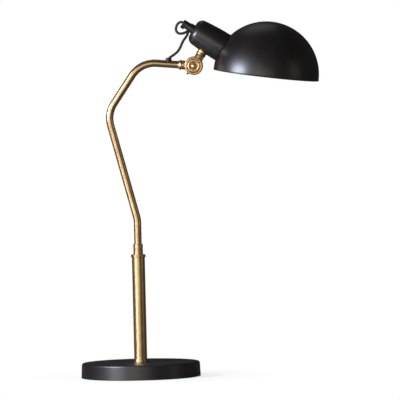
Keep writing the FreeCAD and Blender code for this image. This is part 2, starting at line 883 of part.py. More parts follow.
def neck_ring():
    end = neck_ring_start + neck_ring_length
    middle = (neck_ring_start + end) / 2
    bore = pipe_radius + pipe_thread_fit
    shoulder = neck_ring_radius - neck_ring_length / 4
    edges = [
        line((bore, neck_ring_start), (shoulder, neck_ring_start)),
        arc((shoulder, neck_ring_start), (neck_ring_radius, middle), (shoulder, end)),
        line((shoulder, end), (bore, end)),
        line((bore, end), (bore, neck_ring_start)),
    ]
    return put(spin(edges), neck_frame)


def neck_seat():
    """Dark saddle washer between the ring and the housing's round side."""
    end = pivot_to_housing_axis
    washer = put(tube(neck_seat_radius, pipe_radius + pipe_thread_fit, neck_seat_start, end), neck_frame)
    return washer.cut(housing_outside())


def neck_nut_low():
    """Where the nut's corners meet the housing's curved inner wall."""
    corner = neck_nut_flats / math.sqrt(3)
    wall = housing_front_radius - housing_wall
    draw = housing_front_radius - housing_middle_radius
    return pivot_to_housing_axis - math.sqrt(wall**2 - corner**2) + draw + neck_nut_fit


def neck_nut():
    low = neck_nut_low()
    high = low + neck_nut_thickness
    return put(hex_nut(neck_nut_flats, pipe_radius + pipe_thread_fit, low, high), neck_frame)


def neck_nipple():
    high = neck_nut_low() + neck_nut_thickness + neck_nipple_past_nut
    return put(tube(pipe_radius, neck_nipple_bore, neck_nipple_start, high), neck_frame)


# ---------------------------------------------------------------- housing
def housing_form(inset):
    """The cup's solid form, inset by a wall: its side draws in towards a round rear corner."""
    front = housing_front - (TINY if inset else 0)
    rear = housing_rear - inset
    edges = [
        line((0, front), (housing_front_radius - inset, front)),
        arc(
            (housing_front_radius - inset, front),
            (housing_middle_radius - inset, housing_middle),
            (housing_rear_radius - inset, rear),
        ),
        line((housing_rear_radius - inset, rear), (0, rear)),
        line((0, rear), (0, front)),
    ]
    form = spin(edges)
    return form.makeFillet(housing_corner - inset, circles(form, housing_rear_radius - inset, rear))


def housing_outside():
    return put(housing_form(0), head_frame)


def housing():
    """Spun cup with a hole behind for the grip's nipple and one in its side for the neck's."""
    hole = pipe_radius + pipe_thread_fit
    cup = housing_form(0).cut(housing_form(housing_wall)).cut(rod(hole, housing_middle, housing_rear))
    side_hole = put(rod(hole, 0, pivot_to_housing_axis), neck_frame)
    return put(cup, head_frame).cut(side_hole)


# ---------------------------------------------------------------- cord grip
def grip_screw_cylinder(radius, start, end):
    """Cylinder square to the housing's axis, towards the neck, at the grip screw's place."""
    return Part.makeCylinder(radius, end - start, vec(-start, 0, grip_screw_at), vec(-1, 0, 0))


def cord_grip():
    """Turned grip: a collar on the housing, a thinner barrel, and a bore that leaves room for the screw."""
    thread = pipe_radius
    collar_end = housing_rear + grip_collar_length
    thread_end = housing_rear + grip_thread_depth
    bore = grip_bore_radius
    body = lathe(
        [
            (thread, housing_rear),
            (grip_collar_radius, housing_rear),
            (grip_collar_radius, collar_end - grip_chamfer),
            (grip_collar_radius - grip_chamfer, collar_end),
            (grip_radius, collar_end),
            (grip_radius, grip_end - grip_chamfer),
            (grip_radius - grip_chamfer, grip_end),
            (bore + grip_mouth_chamfer, grip_end),
            (bore, grip_end - grip_mouth_chamfer),
            (bore, thread_end),
            (thread, thread_end),
        ]
    )
    return put(body.cut(grip_screw_cylinder(grip_screw_radius + grip_screw_fit, 0, grip_radius)), head_frame)


def grip_screw():
    """Slotted screw whose round head stands on the grip; it presses the cord to the bore's far side."""
    start = cord_radius + cord_fit - grip_cord_offset
    top = grip_radius + grip_screw_head_height
    screw = grip_screw_cylinder(grip_screw_radius, start, grip_radius + TINY)
    head = grip_screw_cylinder(grip_screw_head_radius, grip_radius, top)
    slot = Part.makeBox(
        grip_screw_slot_depth,
        2 * grip_screw_head_radius,
        grip_screw_slot_width,
        vec(-top, -grip_screw_head_radius, grip_screw_at - grip_screw_slot_width / 2),
    )
    return put(head.fuse(screw).cut(slot), head_frame)


# ---------------------------------------------------------------- cord
def cord_radii(points):
    return [cord_share * run / math.tan(turn / 2) for turn, run in turns(points)]


def head_cord():
    points = cord_points()
    radii = cord_radii(points)
    path = rounded_path(points, radii)
    solid = pipe_along(path, cord_radius)
    print("head_cord radii", [round(radius, 1) for radius in radii])
    print("head_cord length", round(path.Length, 1))
    print("head_cord volume", round(solid.Volume, 1))
    print("section x length", round(math.pi * cord_radius**2 * path.Length, 1))
    return solid


# ---------------------------------------------------------------- lampholder and bulb
def rear_nipple():
    low = holder_cap_low + holder_cap_wall
    high = housing_rear + grip_thread_depth
    return put(tube(pipe_radius, rear_nipple_bore, low, high), head_frame)


def rear_nut():
    high = rear_nut_low + rear_nut_thickness
    return put(hex_nut(rear_nut_flats, pipe_radius + pipe_thread_fit, rear_nut_low, high), head_frame)


def holder_cap():
    """Cap of the lampholder: a neck on the nipple that opens into a cone."""
    thread = pipe_radius + pipe_thread_fit
    middle = (holder_cap_low + holder_cap_high) / 2
    body = lathe(
        [
            (holder_radius - holder_cap_wall, holder_cap_low),
            (holder_radius, holder_cap_low),
            (holder_radius, middle - holder_cap_wall),
            (holder_cap_neck_radius, holder_cap_high - holder_cap_wall),
            (holder_cap_neck_radius, holder_cap_high),
            (thread, holder_cap_high),
            (thread, middle),
            (holder_radius - holder_cap_wall, holder_cap_low + holder_cap_wall),
        ]
    )
    return put(body, head_frame)


def holder_body():
    """Insulating sleeve with a floor, through the shade's hole."""
    sleeve = lathe(
        [
            (holder_bore, holder_mouth),
            (holder_radius, holder_mouth),
            (holder_radius, holder_cap_low),
            (holder_bore, holder_cap_low),
            (holder_bore, holder_floor + holder_floor_thickness),
            (holder_wire_hole, holder_floor + holder_floor_thickness),
            (holder_wire_hole, holder_floor),
            (holder_bore, holder_floor),
        ]
    )
    return put(sleeve, head_frame)


def holder_shell():
    """Brass screw shell on the floor, with an inward flange."""
    inner = holder_shell_radius - holder_shell_wall
    low = holder_floor - holder_shell_length
    shell = lathe(
        [
            (inner, low),
            (holder_shell_radius, low),
            (holder_shell_radius, holder_floor),
            (holder_shell_flange, holder_floor),
            (holder_shell_flange, holder_floor - holder_shell_wall),
            (inner, holder_floor - holder_shell_wall),
        ]
    )
    return put(shell, head_frame)


def holder_contact():
    return put(rod(holder_contact_radius, bulb_tip, holder_floor), head_frame)


def shade_ring():
    """Ring nut that draws the shade's flat land against the housing."""
    high = housing_front - shade_wall
    low = high - shade_ring_thickness
    bore = holder_radius + shade_ring_fit
    ring = lathe(
        [
            (bore, low),
            (shade_ring_radius - shade_ring_chamfer, low),
            (shade_ring_radius, low + shade_ring_chamfer),
            (shade_ring_radius, high),
            (bore, high),
        ]
    )
    return put(ring, head_frame)


def bulb_cap():
    """Screw cap: contact tip, insulating cone and a rolled thread of round ridges."""
    low = bulb_tip - bulb_cap_length
    thread_high = bulb_tip - bulb_cone_length
    edges = [
        line((0, low), (bulb_cap_radius, low)),
    ]
    start = thread_high - bulb_threads * bulb_thread_pitch
    edges.append(line((bulb_cap_radius, low), (bulb_cap_radius, start)))
    for k in range(bulb_threads):
        foot = start + k * bulb_thread_pitch
        crest = (bulb_cap_radius + bulb_thread_height, foot + bulb_thread_pitch / 2)
        edges.append(arc((bulb_cap_radius, foot), crest, (bulb_cap_radius, foot + bulb_thread_pitch)))
    edges.append(line((bulb_cap_radius, thread_high), (bulb_tip_radius, bulb_tip)))
    edges.append(line((bulb_tip_radius, bulb_tip), (0, bulb_tip)))
    edges.append(line((0, bulb_tip), (0, low)))
    return put(spin(edges), head_frame)


def bulb_form(inset):
    """Globe with a straight neck down to the cap, inset by a wall."""
    radius = bulb_globe_radius - inset
    neck = bulb_neck_radius - inset
    foot = bulb_tip - bulb_cap_length
    join = bulb_globe + math.sqrt(radius**2 - neck**2)
    edges = [
        arc((0, bulb_globe - radius), (radius, bulb_globe), (neck, join)),
        line((neck, join), (neck, foot)),
        line((neck, foot), (0, foot)),
        line((0, foot), (0, bulb_globe - radius)),
    ]
    return spin(edges)


def bulb_glass():
    return put(bulb_form(0).cut(bulb_form(bulb_glass_wall)), head_frame)


# ---------------------------------------------------------------- shade
def shade_form(inset):
    """Ball with a flat land where the housing stands, inset by a wall."""
    ball = Part.makeSphere(shade_radius - inset)
    land = rod(shade_radius, housing_front - inset, housing_front + shade_radius)
    return put(ball.cut(land), head_frame)


def shade():
    """Spun half-ball: a round hem, a flat land for the housing and a hole for the lampholder."""
    rim_frame = FreeCAD.Placement(shade_centre, FreeCAD.Rotation(vec(0, 1, 0), shade_tip))
    below = put(rod(2 * shade_radius, -2 * shade_radius, -shade_rim_drop), rim_frame)
    shell = shade_form(0).cut(shade_form(shade_wall)).cut(below)
    rim_radius = math.sqrt((shade_radius - shade_wall / 2) ** 2 - shade_rim_drop**2)
    hem = put(Part.makeTorus(rim_radius, shade_hem_radius, vec(0, 0, -shade_rim_drop)), rim_frame)
    hole = put(rod(shade_hole_radius, 0, housing_front + shade_wall), head_frame)
    return shell.fuse(hem).cut(hole).removeSplitter()


NODES = [
    base_cover,
    base_weight,
    base_pad,
    base_washer,
    base_nut,
    inlet_bushing,
    stem_pipe,
    stem_foot_ring,
    stem_tube,
    stem_collar,
    swivel_socket,
    swivel_stop_pin,
    swivel_ring,
    swivel_cap,
    swivel_spindle,
    swivel_retainer,
    arm_tube,
    arm_grommet,
    arm_lead,
    arm_check_ring,
    knuckle_arm_half,
    knuckle_set_screw,
    knuckle_washer,
    knuckle_bolt,
    knob_washer,
    knuckle_knob,
    knuckle_head_half,
    neck_check_ring,
    neck_ring,
    neck_seat,
    neck_nut,
    neck_nipple,
    housing,
    cord_grip,
    grip_screw,
    head_cord,
    rear_nipple,
    rear_nut,
    holder_cap,
    holder_body,
    holder_shell,
    holder_contact,
    shade_ring,
    bulb_cap,
    bulb_glass,
    shade,
]


def main():
    os.makedirs("parts", exist_ok=True)
    for make in NODES:
        shape = make()
        if not shape.isValid() or shape.Volume <= 0:
            raise ValueError(make.__name__ + " is not a valid solid")
        shape.exportStep(os.path.join("parts", make.__name__ + ".step"))
        print(make.__name__, len(shape.Solids), "solid,", round(shape.Volume), "mm3")
    print("pivot", pivot, "shade centre", shade_centre)


if __name__ == "__main__":
    main()
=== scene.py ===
"""Looks of the dome shade desk lamp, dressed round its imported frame. Metres, +Z up, the knob faces -Y."""

import json
import math

import bmesh
import bpy
import numpy as np
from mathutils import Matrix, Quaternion, Vector


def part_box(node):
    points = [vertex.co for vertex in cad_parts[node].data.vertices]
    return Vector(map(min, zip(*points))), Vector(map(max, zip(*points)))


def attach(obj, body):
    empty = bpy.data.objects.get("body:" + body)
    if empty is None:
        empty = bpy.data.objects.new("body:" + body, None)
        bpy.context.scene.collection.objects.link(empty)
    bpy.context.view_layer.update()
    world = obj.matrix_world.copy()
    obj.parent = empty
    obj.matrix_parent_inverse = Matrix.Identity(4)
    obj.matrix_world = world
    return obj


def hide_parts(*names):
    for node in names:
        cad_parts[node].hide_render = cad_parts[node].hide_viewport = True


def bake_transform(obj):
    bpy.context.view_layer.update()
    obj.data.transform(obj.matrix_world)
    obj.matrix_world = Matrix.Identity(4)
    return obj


bl_info = {
    "name": "Dome shade desk lamp",
    "version": (1, 0, 0),
    "blender": (4, 5, 0),
    "location": "3D View > Sidebar > Desk Lamp",
    "description": "Dresses the lamp's frame with finished surfaces, a braided cord and a small studio",
    "category": "Object",
}

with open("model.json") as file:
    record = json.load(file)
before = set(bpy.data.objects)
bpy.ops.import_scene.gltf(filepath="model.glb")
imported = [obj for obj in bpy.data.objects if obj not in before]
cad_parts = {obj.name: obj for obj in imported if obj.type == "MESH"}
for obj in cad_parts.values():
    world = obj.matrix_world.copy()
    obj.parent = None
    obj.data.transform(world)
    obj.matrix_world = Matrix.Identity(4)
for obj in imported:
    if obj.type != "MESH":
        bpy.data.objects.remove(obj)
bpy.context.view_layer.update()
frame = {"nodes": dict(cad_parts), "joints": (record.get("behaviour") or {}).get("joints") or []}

MM = 0.001
TURN = 2 * math.pi
TOUCHING = 1e-7  # points nearer than this are one
WELD = 0.002 * MM  # corners of the frame's own meshes nearer than this are one
FLAT_ANGLE = 0.05  # degrees between facets of the frame that are taken as one
EDGE_ANGLE = 35  # degrees from which an edge of the frame is broken

# ---- places taken from the frame
JOINTS = {joint["name"]: joint for joint in frame["joints"]}
PIVOT = np.array(JOINTS["head_tilt"]["pos_m"])
ARM_DIP = 5.2  # degrees that the arm's end run falls towards the knuckle
HEAD_DIP = 32.9  # degrees that the housing's axis falls towards the shade
PIVOT_TO_AXIS = 52.0 * MM  # from the tilting axis to the housing's axis
SHADE_TO_NECK = 112.2 * MM  # from the shade's centre to the neck, along the housing's axis

# Base and stem, whose heights and radii come from the frame's boxes
BASE_DRAFT = 1.1 * MM
BASE_SHOULDER = 4.0 * MM  # rounding between side and top
BASE_SIDES = 256  # facets round the base, the widest piece
SHEET = 1.2 * MM  # spun steel of the cover, housing and shade
PIPE = 5.05 * MM  # bore of what sits on the lamp pipe
TUBE_WALL = 1.0 * MM
RING_SHOULDER = 0.7 * MM

# Swivel
GROOVE_DEPTH = 0.45 * MM
GROOVE_WIDTH = 0.9 * MM
SWIVEL_CHAMFER = 0.8 * MM
SPINDLE = 4.05 * MM

# Arm
ARM_RADIUS = 6.35 * MM
ARM_CORNERS = 268.6 * MM, 186.9 * MM, 104.5 * MM  # first bend's height, then the two middle runs
ARM_LEAN = 14.5  # degrees off vertical
ARM_RISE = 55.9  # degrees above level
ARM_BEND = 46.0 * MM
ARM_STOP = 17.5 * MM  # the tube's end, from the pivot

# Rings on the knuckle's barrels, from the pivot
BARREL_END = 21.0 * MM
CHECK_GROOVE = 7.2 * MM
CHECK_GROOVE_LENGTH = 0.6 * MM
CHECK_BEAD = 8.75 * MM
CHECK_BEAD_LENGTH = 2.4 * MM
COVE_LENGTH = 3.2 * MM
COVE_END = 6.8 * MM
NECK_RING = 8.0 * MM
NECK_RING_GAP = 0.1 * MM  # from the bead's foot
NECK_RING_LENGTH = 1.9 * MM
NECK_RING_BULGE = 0.475 * MM

# Knob, in front of the knuckle
KNOB_RIM = 12.2 * MM  # inner edge of the plain rim
ROPE_OUTER = 11.2 * MM
ROPE_INNER = 6.5 * MM
ROPE_HEIGHT = 1.1 * MM  # over the rim
ROPE_STRANDS = 24
ROPE_SLANT = 25.0  # degrees off radial
ROPE_CUT = 0.45 * MM
ROPE_FULLNESS = 0.7  # exponent below 1: strands broader than the cuts between them
KNOB_GROOVE = 1.3 * MM
BOSS = 5.3 * MM
BOSS_HEIGHT = 2.4 * MM  # over the rim
KNURLS = 40
KNURL_DEPTH = 0.35 * MM

# Head, along the housing's axis from the shade's centre
SHADE_RADIUS = 89.9 * MM
SHADE_TIP = 7.8  # degrees that the rim leans down at its far side
RIM_DROP = 0.9 * MM
HEM = 1.1 * MM
SHADE_HOLE = 18.2 * MM
SHADE_CREASE = 50  # degrees from which an edge of the shade stays sharp
LAND = 86.3 * MM
HOUSING_RADII = 25.4 * MM, 24.75 * MM, 21.6 * MM
HOUSING_STATIONS = 86.3 * MM, 112.0 * MM, 145.9 * MM
HOUSING_CORNER = 12.0 * MM
GRIP_COLLAR = 7.75 * MM
GRIP_COLLAR_LENGTH = 7.5 * MM
GRIP = 6.6 * MM
GRIP_LENGTH = 20.6 * MM
GRIP_BORE = 4.4 * MM
BULB_GLOBE = 22.5 * MM
BULB_CENTRE = 64.2 * MM
BULB_NECK = 12.3 * MM
BULB_FOOT = 92.2 * MM

# The cord between the grip and the arm, in millimetres from the pivot: the frame's own route.
HEAD_CORD_ROUTE = [
    (-10.4, 0.0, 70.7), (-16.8, 0.0, 75.1), (-24.5, 0.0, 74.2), (-29.1, 0.0, 66.4),
    (-28.9, 0.2, 58.7), (-23.3, 0.8, 54.5), (-15.4, 3.0, 55.7), (-8.3, 8.5, 58.9),
    (-3.6, 13.5, 64.8), (-1.2, 20.5, 68.2), (-3.3, 28.0, 65.0), (-7.3, 31.0, 58.1),
    (-11.5, 30.0, 48.8), (-16.8, 26.0, 42.5), (-19.8, 19.0, 36.8), (-22.4, 12.0, 31.1),
    (-26.7, 6.0, 24.4), (-35.3, 1.5, 18.0), (-42.5, 0.0, 14.2), (-43.2, 0.0, 6.5),
]
STRAND_ROUNDING = 0.8  # share of its squared height that a strand loses at its edges
STRAND_WEAVE = 0.35  # share of its height that a strand rises and dips
CORD_SIDEWAYS = 0.35, -0.8, 0.48  # a way that the cord never runs

# ---- the photograph's view
CAMERA_TARGET = np.array([107.1, 0.0, 299.2]) * MM
CAMERA_DISTANCE = 28.0
CAMERA_ELEVATION = 2.9  # degrees above level
CAMERA_ROLL = 1.35  # degrees that the lamp leans left in the picture
PICTURE_WIDTH = 680.0 * MM  # at the target
SENSOR_WIDTH = 36.0  # millimetres of film

# ---- the set, in metres
FLOOR_RADIUS = 6.0
FLOOR_SHADOW = 0.08, 0.24  # from the stem, between which the floor turns plain white
FLOOR_WHITE = 0.7, 1.0  # its share of plain white at those two distances
FLOOR_SIDES = CLOTH_SIDES = 96
WORLD_LIGHT = 0.45  # strength of the world for what isn't given plain white
CLOTH_RADIUS = 4.0
CLOTH_LEVELS = 0.0002, 5.0  # foot and top
LIT_POINT = 0.11, 0.0, 0.36  # that the lamps face
# name, degrees left of the camera, degrees above level, distance, width, height, watts, colour
SOFT_LIGHTS = [
    ("left_softbox", 60.0, 15.0, 1.5, 0.65, 0.4, 36.0, "#e6ecff"),
    ("low_card", 50.0, -17.0, 1.0, 0.45, 0.1, 1.3, "#f6f6ff"),
    ("front_softbox", 16.0, 6.0, 2.4, 0.3, 1.8, 4.5, "#fff6ea"),
    ("front_card", 8.0, 2.0, 2.6, 2.0, 1.0, 8.0, "#fff2e2"),
    ("right_card", -65.0, 4.0, 2.2, 0.4, 1.4, 1.8, "#fff2e2"),
    ("rear_card", 175.0, 55.0, 2.6, 1.2, 1.2, 2.5, "#eef2ff"),
]


def linear(code):
    """Linear RGBA of an sRGB hex colour."""
    srgb = np.array([int(code[k : k + 2], 16) for k in (1, 3, 5)]) / 255
    channels = np.where(srgb <= 0.04045, srgb / 12.92, ((srgb + 0.055) / 1.055) ** 2.4)
    return (*channels.tolist(), 1.0)


# ---- sizes and colours that a user would change
def length_setting(name, description, value):
    """A length that a user may change, in metres."""
    return bpy.props.FloatProperty(name=name, description=description, default=value, unit="LENGTH")


def colour_setting(name, description, code):
    """A colour that a user may change, from its sRGB hex code."""
    return bpy.props.FloatVectorProperty(
        name=name, description=description, subtype="COLOR", size=4, min=0, max=1, default=linear(code)
    )


class LampSizes(bpy.types.PropertyGroup):
    """Sizes of the finished surfaces that the frame leaves open."""

    edge: length_setting("Edge rounding", "Radius that polishing leaves on a turned edge", 0.18 * MM)
    sides: bpy.props.IntProperty(name="Sides", description="Facets round a turned piece", default=160)
    cord_radius: length_setting("Cord radius", "Half the thickness of the braided cord", 2.3 * MM)
    braid_carriers: bpy.props.IntProperty(
        name="Braid carriers", description="Strands that run each way round the cord", default=8
    )
    braid_pitch: length_setting("Braid pitch", "Length in which a strand goes once round the cord", 13.0 * MM)
    braid_depth: length_setting("Braid depth", "Height of a strand over the gap beside it", 0.22 * MM)


class LampFinishes(bpy.types.PropertyGroup):
    """Colours of the finishes."""

    brass: colour_setting("Brass", "Antiqued brass where it is rubbed bright", "#dfbd8a")
    brass_dark: colour_setting("Brass patina", "Antiqued brass where the patina is left", "#9c7547")
    coat: colour_setting("Bronze coat", "Satin powder coat of the base, housing and shade", "#15110f")
    braid: colour_setting("Cord braid", "Textile braid of the cord", "#141415")


# ---- frames
def in_plane(angle):
    """Unit vector in the lamp's plane, `angle` degrees above +X."""
    return np.array([math.cos(math.radians(angle)), 0.0, math.sin(math.radians(angle))])


def aim(origin, angle):
    """Place whose local +Z points `angle` degrees above +X in the lamp's plane, and whose +Y stays +Y."""
    return np.asarray(origin, float), np.stack([in_plane(angle - 90), (0.0, 1.0, 0.0), in_plane(angle)])


def lay(points, place):
    """Points of a place's own axes in the lamp's frame: origin plus each coordinate times its axis."""
    origin, axes = place
    return origin + points @ axes


ARM_PLACE = aim(PIVOT, 180 - ARM_DIP)
NECK_PLACE = aim(PIVOT, 90 - HEAD_DIP)
KNOB_PLACE = PIVOT, np.array([(1.0, 0.0, 0.0), (0.0, 0.0, 1.0), (0.0, -1.0, 0.0)])
HEAD_PLACE = aim(
    PIVOT + in_plane(90 - HEAD_DIP) * PIVOT_TO_AXIS - in_plane(180 - HEAD_DIP) * SHADE_TO_NECK,
    180 - HEAD_DIP,
)
UPRIGHT = aim((0.0, 0.0, 0.0), 90)


# ---- surfaces
def surface(name, points, along, around, loop=False, normals=None):
    """Closed mesh of a grid of points, whose columns meet round the piece.

    Rows follow the profile, and the last joins the first where loop is set. A row that lies on one
    point becomes a pole. along has a place in metres for each row and around one for each column, with
    one more where they close, and both are kept in millimetres as the UV map. Faces are turned
    outwards by the sign of the enclosed volume, the sum of a.(b x c) / 6 over the triangles.
    """
    rows, columns = points.shape[:2]
    index = np.arange(rows * columns).reshape(rows, columns)
    for end in (0, -1):
        if np.ptp(points[end], axis=0).max() < TOUCHING:
            index[end] = index[end, 0]
    low = index if loop else index[:-1]
    high = np.roll(index, -1, 0) if loop else index[1:]
    faces = np.stack([low, np.roll(low, -1, 1), np.roll(high, -1, 1), high], -1).reshape(-1, 4)
    u0, v0 = np.meshgrid(along[: len(low)], around[:columns], indexing="ij")
    u1, v1 = np.meshgrid(along[1 : len(low) + 1], around[1 : columns + 1], indexing="ij")
    uv = np.stack([u0, v0, u0, v1, u1, v1, u1, v0], -1).reshape(-1, 4, 2) / MM
    flat = points.reshape(-1, 3)
    a, b, c, d = (flat[faces[:, k]] for k in range(4))
    volume = (np.cross(b, c) * a).sum() + (np.cross(c, d) * a).sum()
    if volume < 0:
        faces, uv = faces[:, ::-1], uv[:, ::-1]
    used, faces = np.unique(faces, return_inverse=True)
    faces = faces.reshape(-1, 4)
    kept = faces != np.roll(faces, 1, 1)
    corners = faces[kept]
    sizes = kept.sum(1)
    mesh = bpy.data.meshes.new(name)
    mesh.vertices.add(len(used))
    mesh.loops.add(len(corners))
    mesh.polygons.add(len(faces))
    mesh.vertices.foreach_set("co", flat[used].astype(np.float32).ravel())
    mesh.loops.foreach_set("vertex_index", corners.astype(np.int32))
    mesh.polygons.foreach_set("loop_start", np.concatenate([[0], np.cumsum(sizes)[:-1]]).astype(np.int32))
    mesh.uv_layers.new(name="UVMap").data.foreach_set("uv", uv[kept].astype(np.float32).ravel())
    mesh.update(calc_edges=True)
    mesh.polygons.foreach_set("use_smooth", np.ones(len(faces), bool))
    if normals is not None:
        mesh.normals_split_custom_set_from_vertices(normals.reshape(-1, 3)[used])
    made = bpy.data.objects.new(name, mesh)
    bpy.context.scene.collection.objects.link(made)
    return made


def lengths(points):
    """Distance along a polyline at each of its points."""
    steps = np.linalg.norm(np.diff(points, axis=0), axis=1)
    return np.concatenate([[0.0], np.cumsum(steps)])


def outline(*corners, turn_step=11.25):
    """Profile through (radius, height, rounding) corners.

    A rounding is the arc of that radius tangent to both sides: its ends lie radius * tan(turn / 2) from
    the corner, and it is sampled every turn_step degrees. The first and last corners stay as they are.
    """
    spots = np.array([corner[:2] for corner in corners], float)
    found = [spots[:1]]
    for before, here, after, corner in zip(spots, spots[1:], spots[2:], corners[1:]):
        inward = (here - before) / np.linalg.norm(here - before)
        onward = (after - here) / np.linalg.norm(after - here)
        turn = math.atan2(inward[0] * onward[1] - inward[1] * onward[0], inward @ onward)
        radius = corner[2] if len(corner) > 2 else 0.0
        if not radius:
            found.append(here[None])
            continue
        side = math.copysign(1, turn)
        start = here - inward * radius * math.tan(abs(turn) / 2)
        middle = start + radius * side * np.array([-inward[1], inward[0]])
        angles = np.linspace(0, turn, 2 + int(abs(math.degrees(turn)) / turn_step))
        arm = start - middle
        found.append(middle + np.stack([
            arm[0] * np.cos(angles) - arm[1] * np.sin(angles),
            arm[0] * np.sin(angles) + arm[1] * np.cos(angles),
        ], -1))
    found.append(spots[-1:])
    return np.concatenate(found)


def bow(start, end, rise, steps=10):
    """Points of the arc from start to end whose middle stands `rise` to the right of the straight way.

    With half chord h the arc's radius is (h^2 + rise^2) / (2 rise).
    """
    start, end = np.array(start, float), np.array(end, float)
    half = np.linalg.norm(end - start) / 2
    radius = (half**2 + rise**2) / (2 * rise)
    ahead = (end - start) / (2 * half)
    right = np.array([ahead[1], -ahead[0]])
    middle = (start + end) / 2 + right * (rise - radius)
    spread = math.asin(min(1.0, half / abs(radius)))
    angles = np.linspace(-spread, spread, steps + 1)[:, None]
    outwards = abs(radius) * math.copysign(1, rise) * right
    return middle + outwards * np.cos(angles) + abs(radius) * ahead * np.sin(angles)


def turned(name, profile, place, sides=None, loop=False):
    """Surface of revolution: a (radius r, height z) profile carried round local Z as (r cos t, r sin t, z).

    The normals are the profile's own, each side's weighted by its length, so that flats stay flat
    beside a small rounding.
    """
    sides = sides or bpy.context.scene.lamp_sizes.sides
    closed = np.concatenate([profile, profile[:1]]) if loop else profile
    sides_of = np.diff(closed, axis=0)
    across = np.stack([sides_of[:, 1], -sides_of[:, 0]], -1)
    if loop:
        blended = across + np.roll(across, 1, 0)
    else:
        blended = np.concatenate([across[:1], across[1:] + across[:-1], across[-1:]])
        blended[np.abs(profile[:, 0]) < TOUCHING, 0] = 0
    r, z = profile.T
    area = 0.5 * (r * np.roll(z, -1) - np.roll(r, -1) * z).sum()
    blended *= math.copysign(1, area) / np.linalg.norm(blended, axis=1)[:, None]
    around = np.linspace(0, TURN, sides + 1)
    c, s = np.cos(around[:-1]), np.sin(around[:-1])
    radius, height = profile[:, :1], profile[:, 1:]
    points = np.stack([radius * c, radius * s, height + 0 * c], -1)
    normals = np.stack([blended[:, :1] * c, blended[:, :1] * s, blended[:, 1:] + 0 * c], -1)
    girth = np.abs(profile[:, 0]).max()
    return surface(name, lay(points, place), lengths(closed), around * girth, loop, normals @ place[1])


def bent_path(corners, radius, turn_step=3.0):
    """Centres and tangents of straight runs through corners, with an arc of one radius at each bend."""
    centres, ahead = [corners[0]], []
    for before, here, after in zip(corners, corners[1:], corners[2:]):
        inward = (here - before) / np.linalg.norm(here - before)
        onward = (after - here) / np.linalg.norm(after - here)
        turn = math.acos(inward @ onward)
        start = here - inward * radius * math.tan(turn / 2)
        towards = onward - inward * (inward @ onward)
        towards /= np.linalg.norm(towards)
        angles = np.linspace(0, turn, 2 + int(math.degrees(turn) / turn_step))[:, None]
        if not ahead:
            ahead.append(inward)
        centres.extend(start + radius * (towards * (1 - np.cos(angles)) + inward * np.sin(angles)))
        ahead.extend(inward * np.cos(angles) + towards * np.sin(angles))
    centres.append(corners[-1])
    ahead.append(ahead[-1])
    return np.array(centres), np.array(ahead)


def swept_tube(name, centres, ahead, radius, wall):
    """Round tube along a path in the lamp's plane: circles square to the path, outside there and inside back.

    A point is centre + radius * (cos t * Y + sin t * (ahead x Y)).
    """
    around = np.linspace(0, TURN, bpy.context.scene.lamp_sizes.sides // 2 + 1)
    side = np.array([0.0, 1.0, 0.0])
    up = np.cross(ahead, side)
    centres = np.concatenate([centres, centres[::-1]])
    up = np.concatenate([up, up[::-1]])[:, None]
    outward = np.repeat([1, -1], len(centres) // 2)[:, None, None]
    radii = radius - wall * (outward < 0)
    c, s = np.cos(around[:-1])[None, :, None], np.sin(around[:-1])[None, :, None]
    spokes = c * side + s * up
    points = centres[:, None] + radii * spokes
    along = np.append(lengths(points[:, 0]), lengths(points[:, 0])[-1] + wall)
    return surface(name, points, along, around * radius, True, outward * spokes)


def eased(name, node, body, width=0.15 * MM):
    """Copy of a frame node whose sharp edges are broken, as polishing leaves them."""
    mesh = frame["nodes"][node].data.copy()
    mesh.name = name
    work = bmesh.new()
    work.from_mesh(mesh)
    bmesh.ops.remove_doubles(work, verts=work.verts, dist=WELD)
    bmesh.ops.dissolve_limit(work, angle_limit=math.radians(FLAT_ANGLE), verts=work.verts, edges=work.edges)
    work.to_mesh(mesh)
    work.free()
    mesh.materials.clear()
    made = bpy.data.objects.new(name, mesh)
    bpy.context.scene.collection.objects.link(made)
    bevel = made.modifiers.new("eased", "BEVEL")
    bevel.width = width
    bevel.segments = 2
    bevel.limit_method = "ANGLE"
    bevel.angle_limit = math.radians(EDGE_ANGLE)
    bevel.harden_normals = True
    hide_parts(node)
    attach(made, body)
    return made


def dress(made, finish, slot, body=None, *nodes):
    """Gives a new piece its finish, and the body and frame nodes that it stands for."""
    made.data.materials.append(finish)
    if body:
        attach(made, body)
    if nodes:
        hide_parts(*nodes)


def turned_brass(name, profile, place, finish, body, node):
    """Turned brass piece that stands for a frame node."""
    dress(turned(name, profile, place, loop=True), finish, "antique_brass", body, node)


def repaint(finish, *nodes):
    """Gives frame nodes whose shape is right a better material."""
    for node in nodes:
        frame["nodes"][node].material_slots[0].material = finish


def span(node):
    """A frame node's greatest half width along X, its lowest and its highest height."""
    low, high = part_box(node)
    return (high.x - low.x) / 2, low.z, high.z


# ---- materials
NOISE_RANGE = {"From Min": 0.3, "From Max": 0.7}  # where most of a noise's values lie
TURNING = 6.0, 0.03  # hairlines per millimetre along and round a turned piece
DRAWING = 0.02, 6.0  # the same on a drawn tube, whose hairlines run along it


def add(tree, kind, links=(), **settings):
    """One node with its settings, and a source socket or a value for each named or numbered input."""
    made = tree.nodes.new(kind)
    for name, value in settings.items():
        setattr(made, name, value)
    for key, value in dict(links).items():
        if isinstance(value, bpy.types.NodeSocket):
            tree.links.new(value, made.inputs[key])
        else:
            made.inputs[key].default_value = value
    return made


def material(name, **values):
    """A material with one Principled shader, whose constant values sit on its own sockets."""
    made = bpy.data.materials.new(name)
    made.use_nodes = True
    tree = made.node_tree
    tree.nodes.clear()
    named = {key.replace("_", " "): value for key, value in values.items()}
    shader = add(tree, "ShaderNodeBsdfPrincipled", named)
    add(tree, "ShaderNodeOutputMaterial", {"Surface": shader.outputs[0]})
    return made, tree, shader


